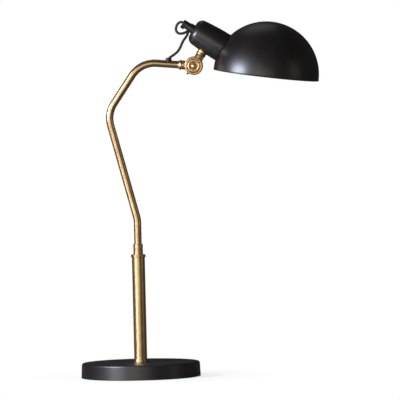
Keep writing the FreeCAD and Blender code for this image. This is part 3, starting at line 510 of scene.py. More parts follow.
def vary(tree, shader, value, tones=None, roughs=None, bump=None):
    """Lets a noise's value vary a shader's colour between two shares of it, its roughness and its height.

    tones is (colour, low, high), roughs is (low, high) and bump is (strength, distance).
    """
    limits = {"Value": value, **NOISE_RANGE}
    if tones:
        colour, low, high = tones
        tone = add(tree, "ShaderNodeMapRange", {**limits, "To Min": low, "To Max": high}).outputs[0]
        tint = add(tree, "ShaderNodeVectorMath", {0: colour[:3], "Scale": tone}, operation="SCALE")
        tree.links.new(tint.outputs[0], shader.inputs["Base Color"])
    if roughs:
        low, high = roughs
        rough = add(tree, "ShaderNodeMapRange", {**limits, "To Min": low, "To Max": high})
        tree.links.new(rough.outputs[0], shader.inputs["Roughness"])
    if bump:
        strength, distance = bump
        relief = add(tree, "ShaderNodeBump", {"Height": value, "Strength": strength, "Distance": distance})
        tree.links.new(relief.outputs[0], shader.inputs["Normal"])


def antique_brass(name, grain, low=0.27, high=0.35):
    """Lacquered brass, antiqued in an acid bath and rubbed back by hand.

    The eye sees a warm satin metal with cloudy brown patina 20 mm wide, and hairlines that stretch the
    highlight. grain is the UV map's (along, around) scale of the hairlines, per millimetre, and low and
    high bound the roughness.
    """
    finishes = bpy.context.scene.lamp_finishes
    made, tree, shader = material(name, Metallic=1.0)
    place = add(tree, "ShaderNodeTexCoord")
    cloud = {"Vector": place.outputs["Object"], "Scale": 1 / (20 * MM), "Detail": 3.0}
    cloud = add(tree, "ShaderNodeTexNoise", cloud)
    patina = {"Value": cloud.outputs[0], "From Min": 0.35, "From Max": 0.75, "To Max": 0.35}
    patina = add(tree, "ShaderNodeMapRange", patina)
    colour = {"Factor": patina.outputs[0], 6: finishes.brass, 7: finishes.brass_dark}
    colour = add(tree, "ShaderNodeMix", colour, data_type="RGBA")
    tree.links.new(colour.outputs[2], shader.inputs["Base Color"])
    way = add(tree, "ShaderNodeMapping", {"Vector": place.outputs["UV"], "Scale": (*grain, 1.0)})
    hairs = add(tree, "ShaderNodeTexNoise", {"Vector": way.outputs[0], "Scale": 1.0, "Detail": 2.0})
    vary(tree, shader, hairs.outputs[0], roughs=(low, high), bump=(0.05, 0.02 * MM))
    return made


def powder_coat(name):
    """Satin powder coat, dark bronze, baked on spun steel.

    The eye sees a nearly black brown with a wide soft highlight, and a fine orange peel.
    """
    finishes = bpy.context.scene.lamp_finishes
    made, tree, shader = material(name, IOR=1.65)
    place = add(tree, "ShaderNodeTexCoord").outputs["Object"]
    peel = add(tree, "ShaderNodeTexNoise", {"Vector": place, "Scale": 1 / (0.9 * MM), "Detail": 1.0})
    cloud = add(tree, "ShaderNodeTexNoise", {"Vector": place, "Scale": 1 / (30 * MM), "Detail": 2.0})
    vary(tree, shader, cloud.outputs[0], (finishes.coat, 0.85, 1.15), (0.36, 0.4))
    vary(tree, shader, peel.outputs[0], bump=(0.05, 0.03 * MM))
    return made


def textile_braid():
    """Rayon braid over the round cord: soft, matt and nearly black, flecked by its fine yarn."""
    finishes = bpy.context.scene.lamp_finishes
    made, tree, shader = material("textile_braid", Roughness=0.75, Sheen_Weight=0.3, Sheen_Roughness=0.5)
    place = add(tree, "ShaderNodeTexCoord").outputs["Object"]
    yarn = add(tree, "ShaderNodeTexNoise", {"Vector": place, "Scale": 1 / (0.35 * MM), "Detail": 2.0})
    vary(tree, shader, yarn.outputs[0], (finishes.braid, 0.6, 1.5), bump=(0.3, 0.1 * MM))
    return made


def speckled(name, colour, grain, roughness, bump_strength=0.15, spread=0.15, **values):
    """A plain material with a fine speckle: a noise of the given grain varies its tone, gloss and height."""
    made, tree, shader = material(name, **values)
    place = add(tree, "ShaderNodeTexCoord").outputs["Object"]
    speck = add(tree, "ShaderNodeTexNoise", {"Vector": place, "Scale": 1 / grain, "Detail": 2.0})
    tones = linear(colour), 1 - spread, 1 + spread
    roughs = 0.9 * roughness, 1.1 * roughness
    vary(tree, shader, speck.outputs[0], tones, roughs, (bump_strength, grain / 5))
    return made


# Plain materials: colour, grain, roughness, then what differs from speckled's own settings
PLAIN = {
    # Pressed wool felt: matt, dark and fuzzy, so that the pad swallows light
    "wool_felt": ("#1a1a1a", 0.6 * MM, 0.95, {"bump_strength": 0.8, "spread": 0.4, "Sheen_Weight": 0.4}),
    # Moulded black rubber: soft gloss without a clear reflection
    "moulded_rubber": ("#161616", 0.3 * MM, 0.55, {}),
    # Screws in black oxide: dark grey metal under a thin oil film
    "black_oxide_steel": ("#2a2a2c", 0.4 * MM, 0.4, {"Metallic": 0.8}),
    # Zinc-plated steel of the pipe and nuts: cool bright metal
    "zinc_plated_steel": ("#b9babd", 0.5 * MM, 0.35, {"Metallic": 1.0}),
    # Rolled nickel-plated cap of the bulb: pale and slightly warm
    "nickel_plated_brass": ("#c8c6c0", 0.5 * MM, 0.25, {"Metallic": 1.0}),
    # Bare drawn brass of the inner fittings: yellow and fairly bright
    "drawn_brass": ("#c9a55c", 0.5 * MM, 0.3, {"Metallic": 1.0}),
    # Pressed phenolic of the lampholder: dark, hard and slightly glossy
    "phenolic": ("#19181a", 0.4 * MM, 0.35, {}),
    # Moulded nylon of the bushing and the lead: as the phenolic
    "nylon_bush": ("#19181a", 0.4 * MM, 0.35, {}),
    # White moulded plastic of the ring inside the shade: satin
    "moulded_white_plastic": ("#dedbd2", 0.4 * MM, 0.4, {"spread": 0.03}),
    # Vulcanised red fibre of the washers: matt and brownish red
    "vulcanised_fibre": ("#6e3a28", 0.5 * MM, 0.6, {}),
    # Sand-cast grey iron: dark and rough
    "cast_iron": ("#4a4a4c", 1.2 * MM, 0.7, {"bump_strength": 0.6, "Metallic": 0.6}),
    # White baked enamel inside the shade, which throws the light back: satin and faintly uneven
    "white_enamel": ("#e4e2dc", 0.9 * MM, 0.4, {"bump_strength": 0.1, "spread": 0.02}),
    # Dark cloth round the set: matt, so that it gives the metal its dark edges
    "dark_flock": ("#4a4a4a", 4 * MM, 0.95, {}),
}


def plain(name):
    """One of the plain materials."""
    colour, grain, roughness, others = PLAIN[name]
    return speckled(name, colour, grain, roughness, **others)


def opal_glass():
    """Opal glass of the bulb, unlit: milky white that glows a little, under a clear gloss."""
    depth = 4 * MM
    milk = {"Subsurface_Weight": 0.4, "Subsurface_Radius": (depth, depth, depth), "IOR": 1.5}
    return speckled("opal_glass", "#efece4", 8 * MM, 0.12, bump_strength=0.0, spread=0.01, **milk)


def seen_white(tree):
    """1 for rays of the camera, gloss and glass, which are given plain white, and 0 for the rest."""
    path = add(tree, "ShaderNodeLightPath")
    seen = path.outputs["Is Camera Ray"]
    for kind in ("Is Glossy Ray", "Is Transmission Ray"):
        seen = add(tree, "ShaderNodeMath", {0: seen, 1: path.outputs[kind]}, operation="MAXIMUM").outputs[0]
    return seen


# ---- operators
class LAMP_OT_cord(bpy.types.Operator):
    """Braided cord from the grip to the grommet in the arm"""

    bl_idname = "lamp.cord"
    bl_label = "Braided cord"

    def execute(self, context):
        centres = self.centre_line()
        sizes = context.scene.lamp_sizes
        made = self.braid(centres, sizes)
        made.data.materials.append(textile_braid())
        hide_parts("head_cord")
        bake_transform(made)
        return {"FINISHED"}

    def centre_line(self):
        """Points of the NURBS spline that the route's points control."""
        curve = bpy.data.curves.new("head_cord_line", "CURVE")
        curve.dimensions = "3D"
        spline = curve.splines.new("NURBS")
        spline.points.add(len(HEAD_CORD_ROUTE) - 1)
        controls = np.ones((len(HEAD_CORD_ROUTE), 4))
        controls[:, :3] = PIVOT + np.array(HEAD_CORD_ROUTE) * MM
        spline.points.foreach_set("co", controls.ravel())
        spline.order_u = 3
        spline.use_endpoint_u = True
        spline.resolution_u = 40
        holder = bpy.data.objects.new("head_cord_line", curve)
        bpy.context.scene.collection.objects.link(holder)
        bpy.context.view_layer.update()
        line = bpy.data.meshes.new_from_object(holder)
        points = np.empty(len(line.vertices) * 3)
        line.vertices.foreach_get("co", points)
        bpy.data.objects.remove(holder)
        bpy.data.meshes.remove(line)
        bpy.data.curves.remove(curve)
        return points.reshape(-1, 3)

    def braid(self, centres, sizes):
        """Tube whose skin is a plain weave of strands that wind both ways round it.

        With t the angle and s the length, a = n (t / 2 pi + s / pitch) and b = n (t / 2 pi - s / pitch)
        count the strands of each way. A strand's back is sqrt(1 - rounding (2 frac - 1)^2), and it rises
        and dips by weave cos(pi (b + floor a)) over and under the others. The skin is the higher one.
        """
        ahead = np.gradient(centres, axis=0)
        ahead /= np.linalg.norm(ahead, axis=1)[:, None]
        start = np.cross(ahead, CORD_SIDEWAYS)
        start /= np.linalg.norm(start, axis=1)[:, None]
        other = np.cross(ahead, start)
        slip = np.arctan2((other[:-1] * start[1:]).sum(1), (start[:-1] * start[1:]).sum(1))
        twist = -np.concatenate([[0.0], np.cumsum(slip)])[:, None]
        side = start * np.cos(twist) + other * np.sin(twist)
        up = other * np.cos(twist) - start * np.sin(twist)
        far = lengths(centres)
        around = np.linspace(0, TURN, 8 * sizes.braid_carriers + 1)
        count = sizes.braid_carriers
        a = count * (around[None, :-1] / TURN + far[:, None] / sizes.braid_pitch)
        b = count * (around[None, :-1] / TURN - far[:, None] / sizes.braid_pitch)
        backs = [np.sqrt(1 - STRAND_ROUNDING * (2 * (strand % 1) - 1) ** 2) for strand in (a, b)]
        over = STRAND_WEAVE * np.cos(math.pi * (b + np.floor(a)))
        under = STRAND_WEAVE * np.cos(math.pi * (a + np.floor(b)))
        height = np.maximum(backs[0] + over, backs[1] - under)
        height = (height - height.max()) * sizes.braid_depth
        radius = (sizes.cord_radius + height)[:, :, None]
        c, s = np.cos(around[:-1])[None, :, None], np.sin(around[:-1])[None, :, None]
        skin = centres[:, None] + radius * (c * side[:, None] + s * up[:, None])
        ends = [np.repeat(centres[k, None, None], len(around) - 1, 1) for k in (0, -1)]
        points = np.concatenate([ends[0], skin, ends[1]])
        along = np.concatenate([far[:1] - sizes.cord_radius, far, far[-1:] + sizes.cord_radius])
        return surface("head_cord_braid", points, along, around * sizes.cord_radius)


class LAMP_OT_base(bpy.types.Operator):
    """Spun cover and felt pad of the base"""

    bl_idname = "lamp.base"
    bl_label = "Base"

    def execute(self, context):
        edge = context.scene.lamp_sizes.edge
        foot, low, top = span("base_cover")
        shoulder = foot - BASE_DRAFT
        cover = outline(
            (PIPE, top - SHEET), (shoulder - SHEET, top - SHEET, BASE_SHOULDER - SHEET),
            (foot - SHEET, low, edge), (foot, low, edge), (shoulder, top, BASE_SHOULDER), (PIPE, top),
        )
        cover = turned("base_shell", cover, UPRIGHT, sides=BASE_SIDES, loop=True)
        dress(cover, powder_coat("coat_base"), "bronze_paint", "base", "base_cover")
        radius, low, high = span("base_pad")
        pad = outline((0, low), (radius, low, 5 * edge), (radius, high, 3 * edge), (0, high))
        pad = turned("felt_pad", pad, UPRIGHT, sides=BASE_SIDES)
        dress(pad, plain("wool_felt"), "felt", "base", "base_pad")
        return {"FINISHED"}


class LAMP_OT_stem(bpy.types.Operator):
    """Brass tube between two like rings"""

    bl_idname = "lamp.stem"
    bl_label = "Stem"

    def execute(self, context):
        edge = context.scene.lamp_sizes.edge
        radius, low, high = span("stem_tube")
        profile = outline(
            (radius - TUBE_WALL, low), (radius, low, edge), (radius, high, edge),
            (radius - TUBE_WALL, high),
        )
        drawn = antique_brass("brass_drawn_tube", DRAWING)
        ringed = antique_brass("brass_turned_ring", TURNING)
        turned_brass("stem_sleeve", profile, UPRIGHT, drawn, "base", "stem_tube")
        self.ring("stem_foot_ring", span("stem_foot_ring")[1], 1, edge, ringed)
        self.ring("stem_collar", span("stem_collar")[2], -1, edge, ringed)
        return {"FINISHED"}

    def ring(self, node, start, up, edge, finish):
        """Ring with a thin floor that the tube stands on; up is -1 for the one turned over on top."""
        radius, low, high = span(node)
        height = high - low
        seat = span("stem_tube")[0]
        profile = outline(
            (SPINDLE, 0), (radius, 0, edge), (radius, height, RING_SHOULDER), (seat, height),
            (seat, TUBE_WALL), (SPINDLE, TUBE_WALL),
        )
        profile[:, 1] = start + up * profile[:, 1]
        turned_brass(node + "_turned", profile, UPRIGHT, finish, "base", node)


class LAMP_OT_swivel(bpy.types.Operator):
    """Socket, friction ring and cap that the arm turns on"""

    bl_idname = "lamp.swivel"
    bl_label = "Swivel"

    def execute(self, context):
        edge = context.scene.lamp_sizes.edge
        brass = antique_brass("brass_turned_swivel", TURNING)
        seat = span("stem_collar")[2]
        radius, low, high = span("swivel_ring")
        groove = radius - GROOVE_DEPTH
        socket = outline(
            (SPINDLE, seat), (radius, seat, edge), (radius, low - GROOVE_WIDTH, edge),
            (groove, low - GROOVE_WIDTH, edge / 2), (groove, low, edge / 2), (SPINDLE, low),
        )
        turned_brass("swivel_socket_turned", socket, UPRIGHT, brass, "base", "swivel_socket")
        ring = outline((SPINDLE, low), (radius, low, edge), (radius, high, edge), (SPINDLE, high))
        turned_brass("swivel_ring_turned", ring, UPRIGHT, brass, "base", "swivel_ring")
        radius, low, high = span("swivel_cap")
        seat = span("arm_tube")[1]
        cap = outline(
            (SPINDLE, low), (groove, low, edge / 2), (groove, low + GROOVE_WIDTH, edge / 2),
            (radius, low + GROOVE_WIDTH, edge), (radius, high - SWIVEL_CHAMFER, 2 * edge),
            (radius - SWIVEL_CHAMFER, high, edge), (ARM_RADIUS, high), (ARM_RADIUS, seat),
            (SPINDLE, seat),
        )
        turned_brass("swivel_cap_turned", cap, UPRIGHT, brass, "arm", "swivel_cap")
        return {"FINISHED"}


def check_bead():
    """Rows of a bead ring, from the groove beside the barrel to the bead's far foot."""
    near = BARREL_END + CHECK_GROOVE_LENGTH
    far = near + CHECK_BEAD_LENGTH
    foot = CHECK_BEAD - CHECK_BEAD_LENGTH / 3
    bead = bow((foot, near), (foot, far), CHECK_BEAD_LENGTH / 3)
    return foot, far, np.concatenate([[(CHECK_GROOVE, BARREL_END), (CHECK_GROOVE, near)], bead])


class LAMP_OT_arm(bpy.types.Operator):
    """Bent brass tube, the ring at its end and the rubber grommet"""

    bl_idname = "lamp.arm"
    bl_label = "Arm"

    def execute(self, context):
        first = np.array([0.0, 0.0, ARM_CORNERS[0]])
        second = first + in_plane(90 + ARM_LEAN) * ARM_CORNERS[1]
        third = second + in_plane(ARM_RISE) * ARM_CORNERS[2]
        foot = np.array([0.0, 0.0, span("arm_tube")[1]])
        end = PIVOT + in_plane(180 - ARM_DIP) * ARM_STOP
        centres, ahead = bent_path([foot, first, second, third, end], ARM_BEND)
        arm = swept_tube("arm_bent_tube", centres, ahead, ARM_RADIUS, TUBE_WALL)
        dress(arm, antique_brass("brass_bent_tube", DRAWING), "antique_brass", "arm", "arm_tube")
        foot, far, bead = check_bead()
        cove = bow((foot, far), (COVE_END, far + COVE_LENGTH), -COVE_LENGTH / 8)
        bore = [(ARM_RADIUS, far + COVE_LENGTH), (ARM_RADIUS, BARREL_END)]
        profile = np.concatenate([bead, cove[1:], bore])
        brass = antique_brass("brass_arm_ring", TURNING, 0.34, 0.44)
        turned_brass("arm_ring_turned", profile, ARM_PLACE, brass, "arm", "arm_check_ring")
        grommet = eased("grommet_moulded", "arm_grommet", "arm", 0.1 * MM)
        dress(grommet, plain("moulded_rubber"), "black_rubber")
        return {"FINISHED"}


class LAMP_OT_knuckle(bpy.types.Operator):
    """Clamped knuckle: the two lugs, their screws and the rings on the neck"""

    bl_idname = "lamp.knuckle"
    bl_label = "Knuckle"

    def execute(self, context):
        cast = antique_brass("brass_machined", (0.5, 0.5), 0.36, 0.46)
        dress(eased("arm_lug", "knuckle_arm_half", "arm", 0.12 * MM), cast, "antique_brass")
        dress(eased("head_lug", "knuckle_head_half", "head", 0.12 * MM), cast, "antique_brass")
        dress(eased("bolt_head", "knuckle_bolt", "arm"), plain("black_oxide_steel"), "black_steel")
        screw = eased("locking_screw", "knuckle_set_screw", "arm", 0.08 * MM)
        dress(screw, plain("black_oxide_steel"), "black_steel")
        _, far, bead = check_bead()
        bore = [(PIPE, far), (PIPE, BARREL_END)]
        ringed = antique_brass("brass_neck_rings", TURNING, 0.34, 0.44)
        profile = np.concatenate([bead, bore])
        turned_brass("neck_bead_turned", profile, NECK_PLACE, ringed, "head", "neck_check_ring")
        start = far + NECK_RING_GAP
        end = start + NECK_RING_LENGTH
        shoulder = NECK_RING - NECK_RING_BULGE
        ring = bow((shoulder, start), (shoulder, end), NECK_RING - shoulder)
        profile = np.concatenate([ring, [(PIPE, end), (PIPE, start)]])
        turned_brass("neck_ring_turned", profile, NECK_PLACE, ringed, "head", "neck_ring")
        dress(eased("neck_saddle", "neck_seat", "head", 0.08 * MM), cast, "antique_brass")
        return {"FINISHED"}


class LAMP_OT_knob(bpy.types.Operator):
    """Knurled knob with a roped ring and a domed boss"""

    bl_idname = "lamp.knob"
    bl_label = "Knob"

    def execute(self, context):
        """A turned profile whose edge and crown are pressed in by the angle.

        The knurl takes depth * max(0, cos(n t)) off the edge. The rope's cuts lower the crown by
        cut * (1 - |cos(strands (t - slant) / 2)|^fullness), where the slant grows with the radius.
        """
        low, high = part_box("knuckle_knob")
        radius = (high.x - low.x) / 2
        back = -(high.y - PIVOT[1])
        rim = -(low.y - PIVOT[1]) - BOSS_HEIGHT
        edge = context.scene.lamp_sizes.edge
        floor = rim - KNOB_GROOVE
        crown = bow((ROPE_OUTER, floor), (ROPE_INNER, floor), ROPE_HEIGHT + KNOB_GROOVE, steps=18)
        boss = bow((BOSS, floor), (-BOSS, floor), BOSS_HEIGHT + KNOB_GROOVE, steps=36)[:19]
        boss[-1, 0] = 0
        rear = outline((0, back), (radius, back, 2 * edge), (radius, (back + rim) / 2))
        side = np.stack([np.full(7, radius), np.linspace((back + rim) / 2, rim - 4 * edge, 8)[1:]], -1)
        front = outline(
            (radius, rim - 4 * edge), (radius, rim, 3.5 * edge), (KNOB_RIM, rim, edge),
            (KNOB_RIM, floor, edge), (ROPE_OUTER, floor),
        )
        profile = np.concatenate([rear, side, front[1:-1], crown, boss])
        around = np.linspace(0, TURN, 12 * KNURLS + 1)
        turn = around[None, :-1]
        r, z = profile[:, :1], profile[:, 1:]
        flute = np.clip(np.cos(KNURLS * turn), 0, 1) * KNURL_DEPTH
        on_edge = np.clip((r - (radius - 3 * edge)) / (2 * edge), 0, 1) * (z > back + edge)
        across = np.clip((r - ROPE_INNER) / (ROPE_OUTER - ROPE_INNER), 0, 1)
        slant = math.radians(ROPE_SLANT) * (across - 0.5)
        strand = 1 - np.abs(np.cos(ROPE_STRANDS * (turn - slant) / 2)) ** ROPE_FULLNESS
        on_rope = np.sin(math.pi * across) ** 0.5 * (r < ROPE_OUTER) * (r > ROPE_INNER)
        r = r - flute * on_edge
        z = z - strand * on_rope * ROPE_CUT
        local = np.stack([r * np.cos(turn), r * np.sin(turn), z], -1)
        knob = surface("knob_turned", lay(local, KNOB_PLACE), lengths(profile), around * radius)
        brass = antique_brass("brass_knob", (3.0, 0.05), 0.4, 0.5)
        dress(knob, brass, "antique_brass", "knob", "knuckle_knob")
        return {"FINISHED"}


class LAMP_OT_housing(bpy.types.Operator):
    """Spun socket cup and the cord grip on its rear"""

    bl_idname = "lamp.housing"
    bl_label = "Housing and grip"

    def execute(self, context):
        edge = context.scene.lamp_sizes.edge
        coat = powder_coat("coat_housing")
        outside = self.cup(0.0)
        inside = self.cup(SHEET)
        profile = np.concatenate([outside, inside[::-1]])
        dress(turned("housing_cup", profile, HEAD_PLACE, loop=True), coat, "bronze_paint", "head", "housing")
        rear = HOUSING_STATIONS[2]
        end = rear + GRIP_LENGTH
        grip = outline(
            (PIPE, rear), (GRIP_COLLAR, rear, edge),
            (GRIP_COLLAR, rear + GRIP_COLLAR_LENGTH, 3 * edge),
            (GRIP, rear + GRIP_COLLAR_LENGTH, edge), (GRIP, end, 3 * edge), (GRIP_BORE, end, 3 * edge),
            (GRIP_BORE, rear + GRIP_COLLAR_LENGTH), (PIPE, rear + GRIP_COLLAR_LENGTH),
        )
        dress(turned("grip_turned", grip, HEAD_PLACE, loop=True), coat, "bronze_paint", "head", "cord_grip")
        screw = eased("grip_clamp_screw", "grip_screw", "head", 0.1 * MM)
        dress(screw, plain("black_oxide_steel"), "black_steel")
        return {"FINISHED"}

    def cup(self, inset):
        """Side and rear of the cup: the circle through three stations, a corner arc inside it, and a flat.

        The corner's centre lies corner below the rear face, and its distance from the side's centre is
        the side's radius less the corner's.
        """
        (r1, r2, r3), (z1, z2, z3) = HOUSING_RADII, HOUSING_STATIONS
        a = np.array([[2 * (r2 - r1), 2 * (z2 - z1)], [2 * (r3 - r1), 2 * (z3 - z1)]])
        b = np.array([r2**2 - r1**2 + z2**2 - z1**2, r3**2 - r1**2 + z3**2 - z1**2])
        middle = np.linalg.solve(a, b)
        big = math.hypot(r1 - middle[0], z1 - middle[1]) - inset
        corner = HOUSING_CORNER - inset
        rear = z3 - inset
        low = rear - corner
        across = middle[0] + math.sqrt((big - corner) ** 2 - (low - middle[1]) ** 2)
        tangent = math.atan2(low - middle[1], across - middle[0])
        start = math.asin((z1 - middle[1]) / big)
        side = np.linspace(start, tangent, 24)[:, None]
        side = middle + big * np.concatenate([np.cos(side), np.sin(side)], 1)
        turn = np.linspace(tangent, math.pi / 2, 16)[1:, None]
        turn = np.array([across, low]) + corner * np.concatenate([np.cos(turn), np.sin(turn)], 1)
        return np.concatenate([side, turn, [(PIPE, rear)]])


class LAMP_OT_shade(bpy.types.Operator):
    """Spun dome, dark outside and white inside, with a rolled hem"""

    bl_idname = "lamp.shade"
    bl_label = "Shade"

    def execute(self, context):
        columns = 192
        around = np.linspace(0, TURN, columns + 1)
        turn = around[:-1]
        outer = self.skin(SHADE_RADIUS, turn, 72)
        inner = self.skin(SHADE_RADIUS - SHEET, turn, 56)[::-1]
        hem = self.hem(turn, 16)
        hole = SHADE_HOLE
        land = np.array([hole, 0.5 * (hole + math.sqrt(SHADE_RADIUS**2 - LAND**2))])
        ring = np.stack([np.cos(turn), np.sin(turn)], -1)
        top = np.concatenate([land[:, None, None] * ring, np.full((2, columns, 1), LAND)], -1)
        under = np.concatenate([land[::-1, None, None] * ring, np.full((2, columns, 1), LAND - SHEET)], -1)
        local = np.concatenate([top, outer, hem, inner, under])
        along = lengths(local[:, columns // 4])
        along = np.append(along, along[-1] + SHEET)
        shade = surface("shade_dome", lay(local, HEAD_PLACE), along, around * SHADE_RADIUS, loop=True)
        mesh = shade.data
        mesh.set_sharp_from_angle(angle=math.radians(SHADE_CREASE))
        dress(shade, powder_coat("coat_shade"), "bronze_paint", "head", "shade")
        mesh.materials.append(plain("white_enamel"))
        rows = np.arange(len(mesh.polygons)) // columns
        white = rows >= len(top) + len(outer) + len(hem) - 1
        mesh.polygons.foreach_set("material_index", white.astype(np.int32))
        return {"FINISHED"}

    def rim_normal(self):
        """The rim plane's normal, in the head's own axes."""
        return HEAD_PLACE[1] @ in_plane(90 - SHADE_TIP)

    def reach(self, turn, radius, height):
        """Angle from the head's axis at which a meridian meets a plane `height` above the shade's centre.

        With normal n, the meridian's point r (cos p k + sin p e) meets n.x = height where
        p = atan2(n.e, n.k) + acos(height / (r hypot(n.k, n.e))).
        """
        normal = self.rim_normal()
        across = normal[0] * np.cos(turn) + normal[1] * np.sin(turn)
        return np.arctan2(across, normal[2]) + np.arccos(height / (radius * np.hypot(normal[2], across)))

    def ball(self, radius, polar, turn):
        """Points of the ball: r (sin p cos t, sin p sin t, cos p)."""
        across = np.sin(polar)
        return radius * np.stack([across * np.cos(turn), across * np.sin(turn), np.cos(polar)], -1)

    def skin(self, radius, turn, rows):
        """Rows of the ball from the land's edge to just above the hem."""
        land = LAND - (SHADE_RADIUS - radius)
        start = math.acos(land / radius)
        above_hem = math.sqrt(HEM**2 - (SHEET / 2) ** 2) - RIM_DROP
        share = np.linspace(0, 1, rows)[:, None]
        return self.ball(radius, start + share * (self.reach(turn, radius, above_hem) - start), turn)

    def hem(self, turn, rows):
        """Rows of a round roll about the rim, from its outside under it to its inside."""
        normal = self.rim_normal()
        middle = SHADE_RADIUS - SHEET / 2
        rim = self.ball(middle, self.reach(turn, middle, -RIM_DROP), turn)
        out = rim + RIM_DROP * normal
        out = out / np.linalg.norm(out, axis=1)[:, None]
        open_half = math.acos(SHEET / 2 / HEM)
        roll = np.linspace(open_half, -math.pi - open_half, rows)[1:-1, None, None]
        return rim + HEM * (np.cos(roll) * out + np.sin(roll) * normal)


class LAMP_OT_bulb(bpy.types.Operator):
    """Opal globe bulb, its cap, the lampholder and the shade's ring"""

    bl_idname = "lamp.bulb"
    bl_label = "Bulb and lampholder"

    def execute(self, context):
        join = BULB_CENTRE + math.sqrt(BULB_GLOBE**2 - BULB_NECK**2)
        spread = math.pi - math.asin(BULB_NECK / BULB_GLOBE)
        polar = np.linspace(0, spread, 48)[:, None]
        globe = np.concatenate([BULB_GLOBE * np.sin(polar), BULB_CENTRE - BULB_GLOBE * np.cos(polar)], 1)
        neck = [(BULB_NECK, (join + BULB_FOOT) / 2), (BULB_NECK, BULB_FOOT), (0, BULB_FOOT)]
        glass = turned("bulb_globe", np.concatenate([globe, neck]), HEAD_PLACE)
        dress(glass, opal_glass(), "bulb_glass", "head", "bulb_glass")
        repaint(plain("nickel_plated_brass"), "bulb_cap", "holder_contact")
        repaint(plain("phenolic"), "holder_body", "holder_cap")
        repaint(plain("moulded_white_plastic"), "shade_ring")
        repaint(plain("drawn_brass"), "holder_shell", "rear_nipple", "rear_nut", "neck_nut", "neck_nipple")
        return {"FINISHED"}


class LAMP_OT_inside(bpy.types.Operator):
    """Finishes of the pieces that only a dismantled lamp shows"""

    bl_idname = "lamp.inside"
    bl_label = "Inner pieces"

    def execute(self, context):
        repaint(plain("cast_iron"), "base_weight")
        repaint(plain("zinc_plated_steel"), "base_washer", "base_nut", "stem_pipe")
        repaint(plain("nylon_bush"), "inlet_bushing", "arm_lead")
        repaint(plain("drawn_brass"), "swivel_stop_pin", "swivel_spindle", "swivel_retainer")
        repaint(plain("vulcanised_fibre"), "knuckle_washer", "knob_washer")
        return {"FINISHED"}


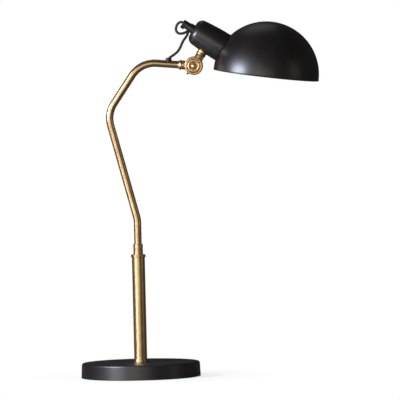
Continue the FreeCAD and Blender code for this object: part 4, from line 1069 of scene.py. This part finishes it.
class LAMP_OT_stage(bpy.types.Operator):
    """Pale floor, soft lights, white background, unseen dark cloth and the photograph's camera"""

    bl_idname = "lamp.stage"
    bl_label = "Stage and camera"

    def execute(self, context):
        self.camera(context)
        self.world(context)
        self.floor(context)
        self.walls()
        self.lights(context)
        context.scene.view_settings.view_transform = "Standard"
        return {"FINISHED"}

    def camera(self, context):
        lens = bpy.data.cameras.new("photo_camera")
        lens.sensor_width = SENSOR_WIDTH
        lens.lens = SENSOR_WIDTH * CAMERA_DISTANCE / PICTURE_WIDTH
        lens.clip_start, lens.clip_end = 1.0, 2 * CAMERA_DISTANCE
        rise = math.radians(CAMERA_ELEVATION)
        back = Vector((0, -math.cos(rise), math.sin(rise)))
        camera = bpy.data.objects.new("photo_camera", lens)
        camera.location = Vector(CAMERA_TARGET) + back * CAMERA_DISTANCE
        camera.rotation_mode = "QUATERNION"
        roll = Quaternion((0, 0, 1), -math.radians(CAMERA_ROLL))
        camera.rotation_quaternion = (-back).to_track_quat("-Z", "Y") @ roll
        context.scene.collection.objects.link(camera)
        context.scene.camera = camera

    def world(self, context):
        """White where the camera, gloss or glass looks, and a plain grey level for the rest."""
        world = bpy.data.worlds.new("studio")
        world.use_nodes = True
        tree = world.node_tree
        tree.nodes.clear()
        strength = {"Value": seen_white(tree), "To Min": WORLD_LIGHT, "To Max": 1.0}
        strength = add(tree, "ShaderNodeMapRange", strength)
        light = add(tree, "ShaderNodeBackground", {"Strength": strength.outputs[0], "Color": (1, 1, 1, 1)})
        add(tree, "ShaderNodeOutputWorld", {"Surface": light.outputs[0]})
        context.scene.world = world

    def floor(self, context):
        """Round pale floor: painted white, and lit to the background's white away from the lamp."""
        around = np.linspace(0, TURN, FLOOR_SIDES + 1)[:-1]
        mesh = bpy.data.meshes.new("floor")
        corners = FLOOR_RADIUS * np.stack([np.cos(around), np.sin(around), 0 * around], -1)
        mesh.from_pydata(corners.tolist(), [], [list(range(len(corners)))])
        made, tree, shader = material("white_floor", Roughness=0.6, Base_Color=linear("#f4f4f2"))
        output = next(node for node in tree.nodes if node.bl_idname == "ShaderNodeOutputMaterial")
        place = add(tree, "ShaderNodeTexCoord").outputs["Object"]
        far = add(tree, "ShaderNodeVectorMath", {0: place}, operation="LENGTH").outputs["Value"]
        (start, end), (low, high) = FLOOR_SHADOW, FLOOR_WHITE
        near = {"Value": far, "From Min": start, "From Max": end, "To Min": low, "To Max": high}
        near = add(tree, "ShaderNodeMapRange", near)
        share = {0: seen_white(tree), 1: near.outputs[0]}
        share = add(tree, "ShaderNodeMath", share, operation="MULTIPLY")
        white = add(tree, "ShaderNodeEmission", {"Color": (1, 1, 1, 1), "Strength": 1.0})
        both = {0: share.outputs[0], 1: shader.outputs[0], 2: white.outputs[0]}
        both = add(tree, "ShaderNodeMixShader", both)
        tree.links.new(both.outputs[0], output.inputs["Surface"])
        mesh.materials.append(made)
        made = bpy.data.objects.new("floor", mesh)
        context.scene.collection.objects.link(made)

    def walls(self):
        """Dark cloth round the set, which only gloss sees.

        It hides the white background from reflections and gives the metal its dark edges.
        """
        low, high = CLOTH_LEVELS
        drum = outline((0, low), (CLOTH_RADIUS, low), (CLOTH_RADIUS, high), (0, high))
        drum = turned("dark_cloth", drum, UPRIGHT, sides=CLOTH_SIDES)
        drum.data.materials.append(plain("dark_flock"))
        for kind in ("camera", "diffuse", "transmission", "shadow"):
            setattr(drum, "visible_" + kind, False)

    def lights(self, context):
        for name, left, above, distance, width, height, watts, colour in SOFT_LIGHTS:
            lamp = bpy.data.lights.new(name, "AREA")
            lamp.shape = "RECTANGLE"
            lamp.size, lamp.size_y = width, height
            lamp.energy = watts
            lamp.color = linear(colour)[:3]
            holder = bpy.data.objects.new(name, lamp)
            a, e = math.radians(left), math.radians(above)
            away = Vector((-math.sin(a) * math.cos(e), -math.cos(a) * math.cos(e), math.sin(e)))
            holder.location = Vector(LIT_POINT) + away * distance
            holder.rotation_mode = "QUATERNION"
            holder.rotation_quaternion = (-away).to_track_quat("-Z", "Y")
            holder.visible_camera = False
            context.scene.collection.objects.link(holder)


class LAMP_PT_panel(bpy.types.Panel):
    """Lists the lamp's pieces, sizes and colours"""

    bl_label = "Dome Shade Desk Lamp"
    bl_idname = "LAMP_PT_panel"
    bl_space_type = "VIEW_3D"
    bl_region_type = "UI"
    bl_category = "Desk Lamp"

    def draw(self, context):
        for group in (context.scene.lamp_sizes, context.scene.lamp_finishes):
            box = self.layout.box()
            for name in group.bl_rna.properties.keys():
                if name not in ("rna_type", "name"):
                    box.prop(group, name)
        for step in STEPS:
            self.layout.operator(step.bl_idname)


STEPS = [
    LAMP_OT_stage,
    LAMP_OT_cord,
    LAMP_OT_base,
    LAMP_OT_stem,
    LAMP_OT_swivel,
    LAMP_OT_arm,
    LAMP_OT_knuckle,
    LAMP_OT_knob,
    LAMP_OT_housing,
    LAMP_OT_shade,
    LAMP_OT_bulb,
    LAMP_OT_inside,
]
CLASSES = [LampSizes, LampFinishes, *STEPS, LAMP_PT_panel]


def register():
    for kind in CLASSES:
        bpy.utils.register_class(kind)
    bpy.types.Scene.lamp_sizes = bpy.props.PointerProperty(type=LampSizes)
    bpy.types.Scene.lamp_finishes = bpy.props.PointerProperty(type=LampFinishes)


def unregister():
    del bpy.types.Scene.lamp_finishes
    del bpy.types.Scene.lamp_sizes
    for kind in reversed(CLASSES):
        bpy.utils.unregister_class(kind)


def main():
    register()
    for step in STEPS:
        group, name = step.bl_idname.split(".")
        getattr(getattr(bpy.ops, group), name)()


if __name__ == "__main__":
    main()
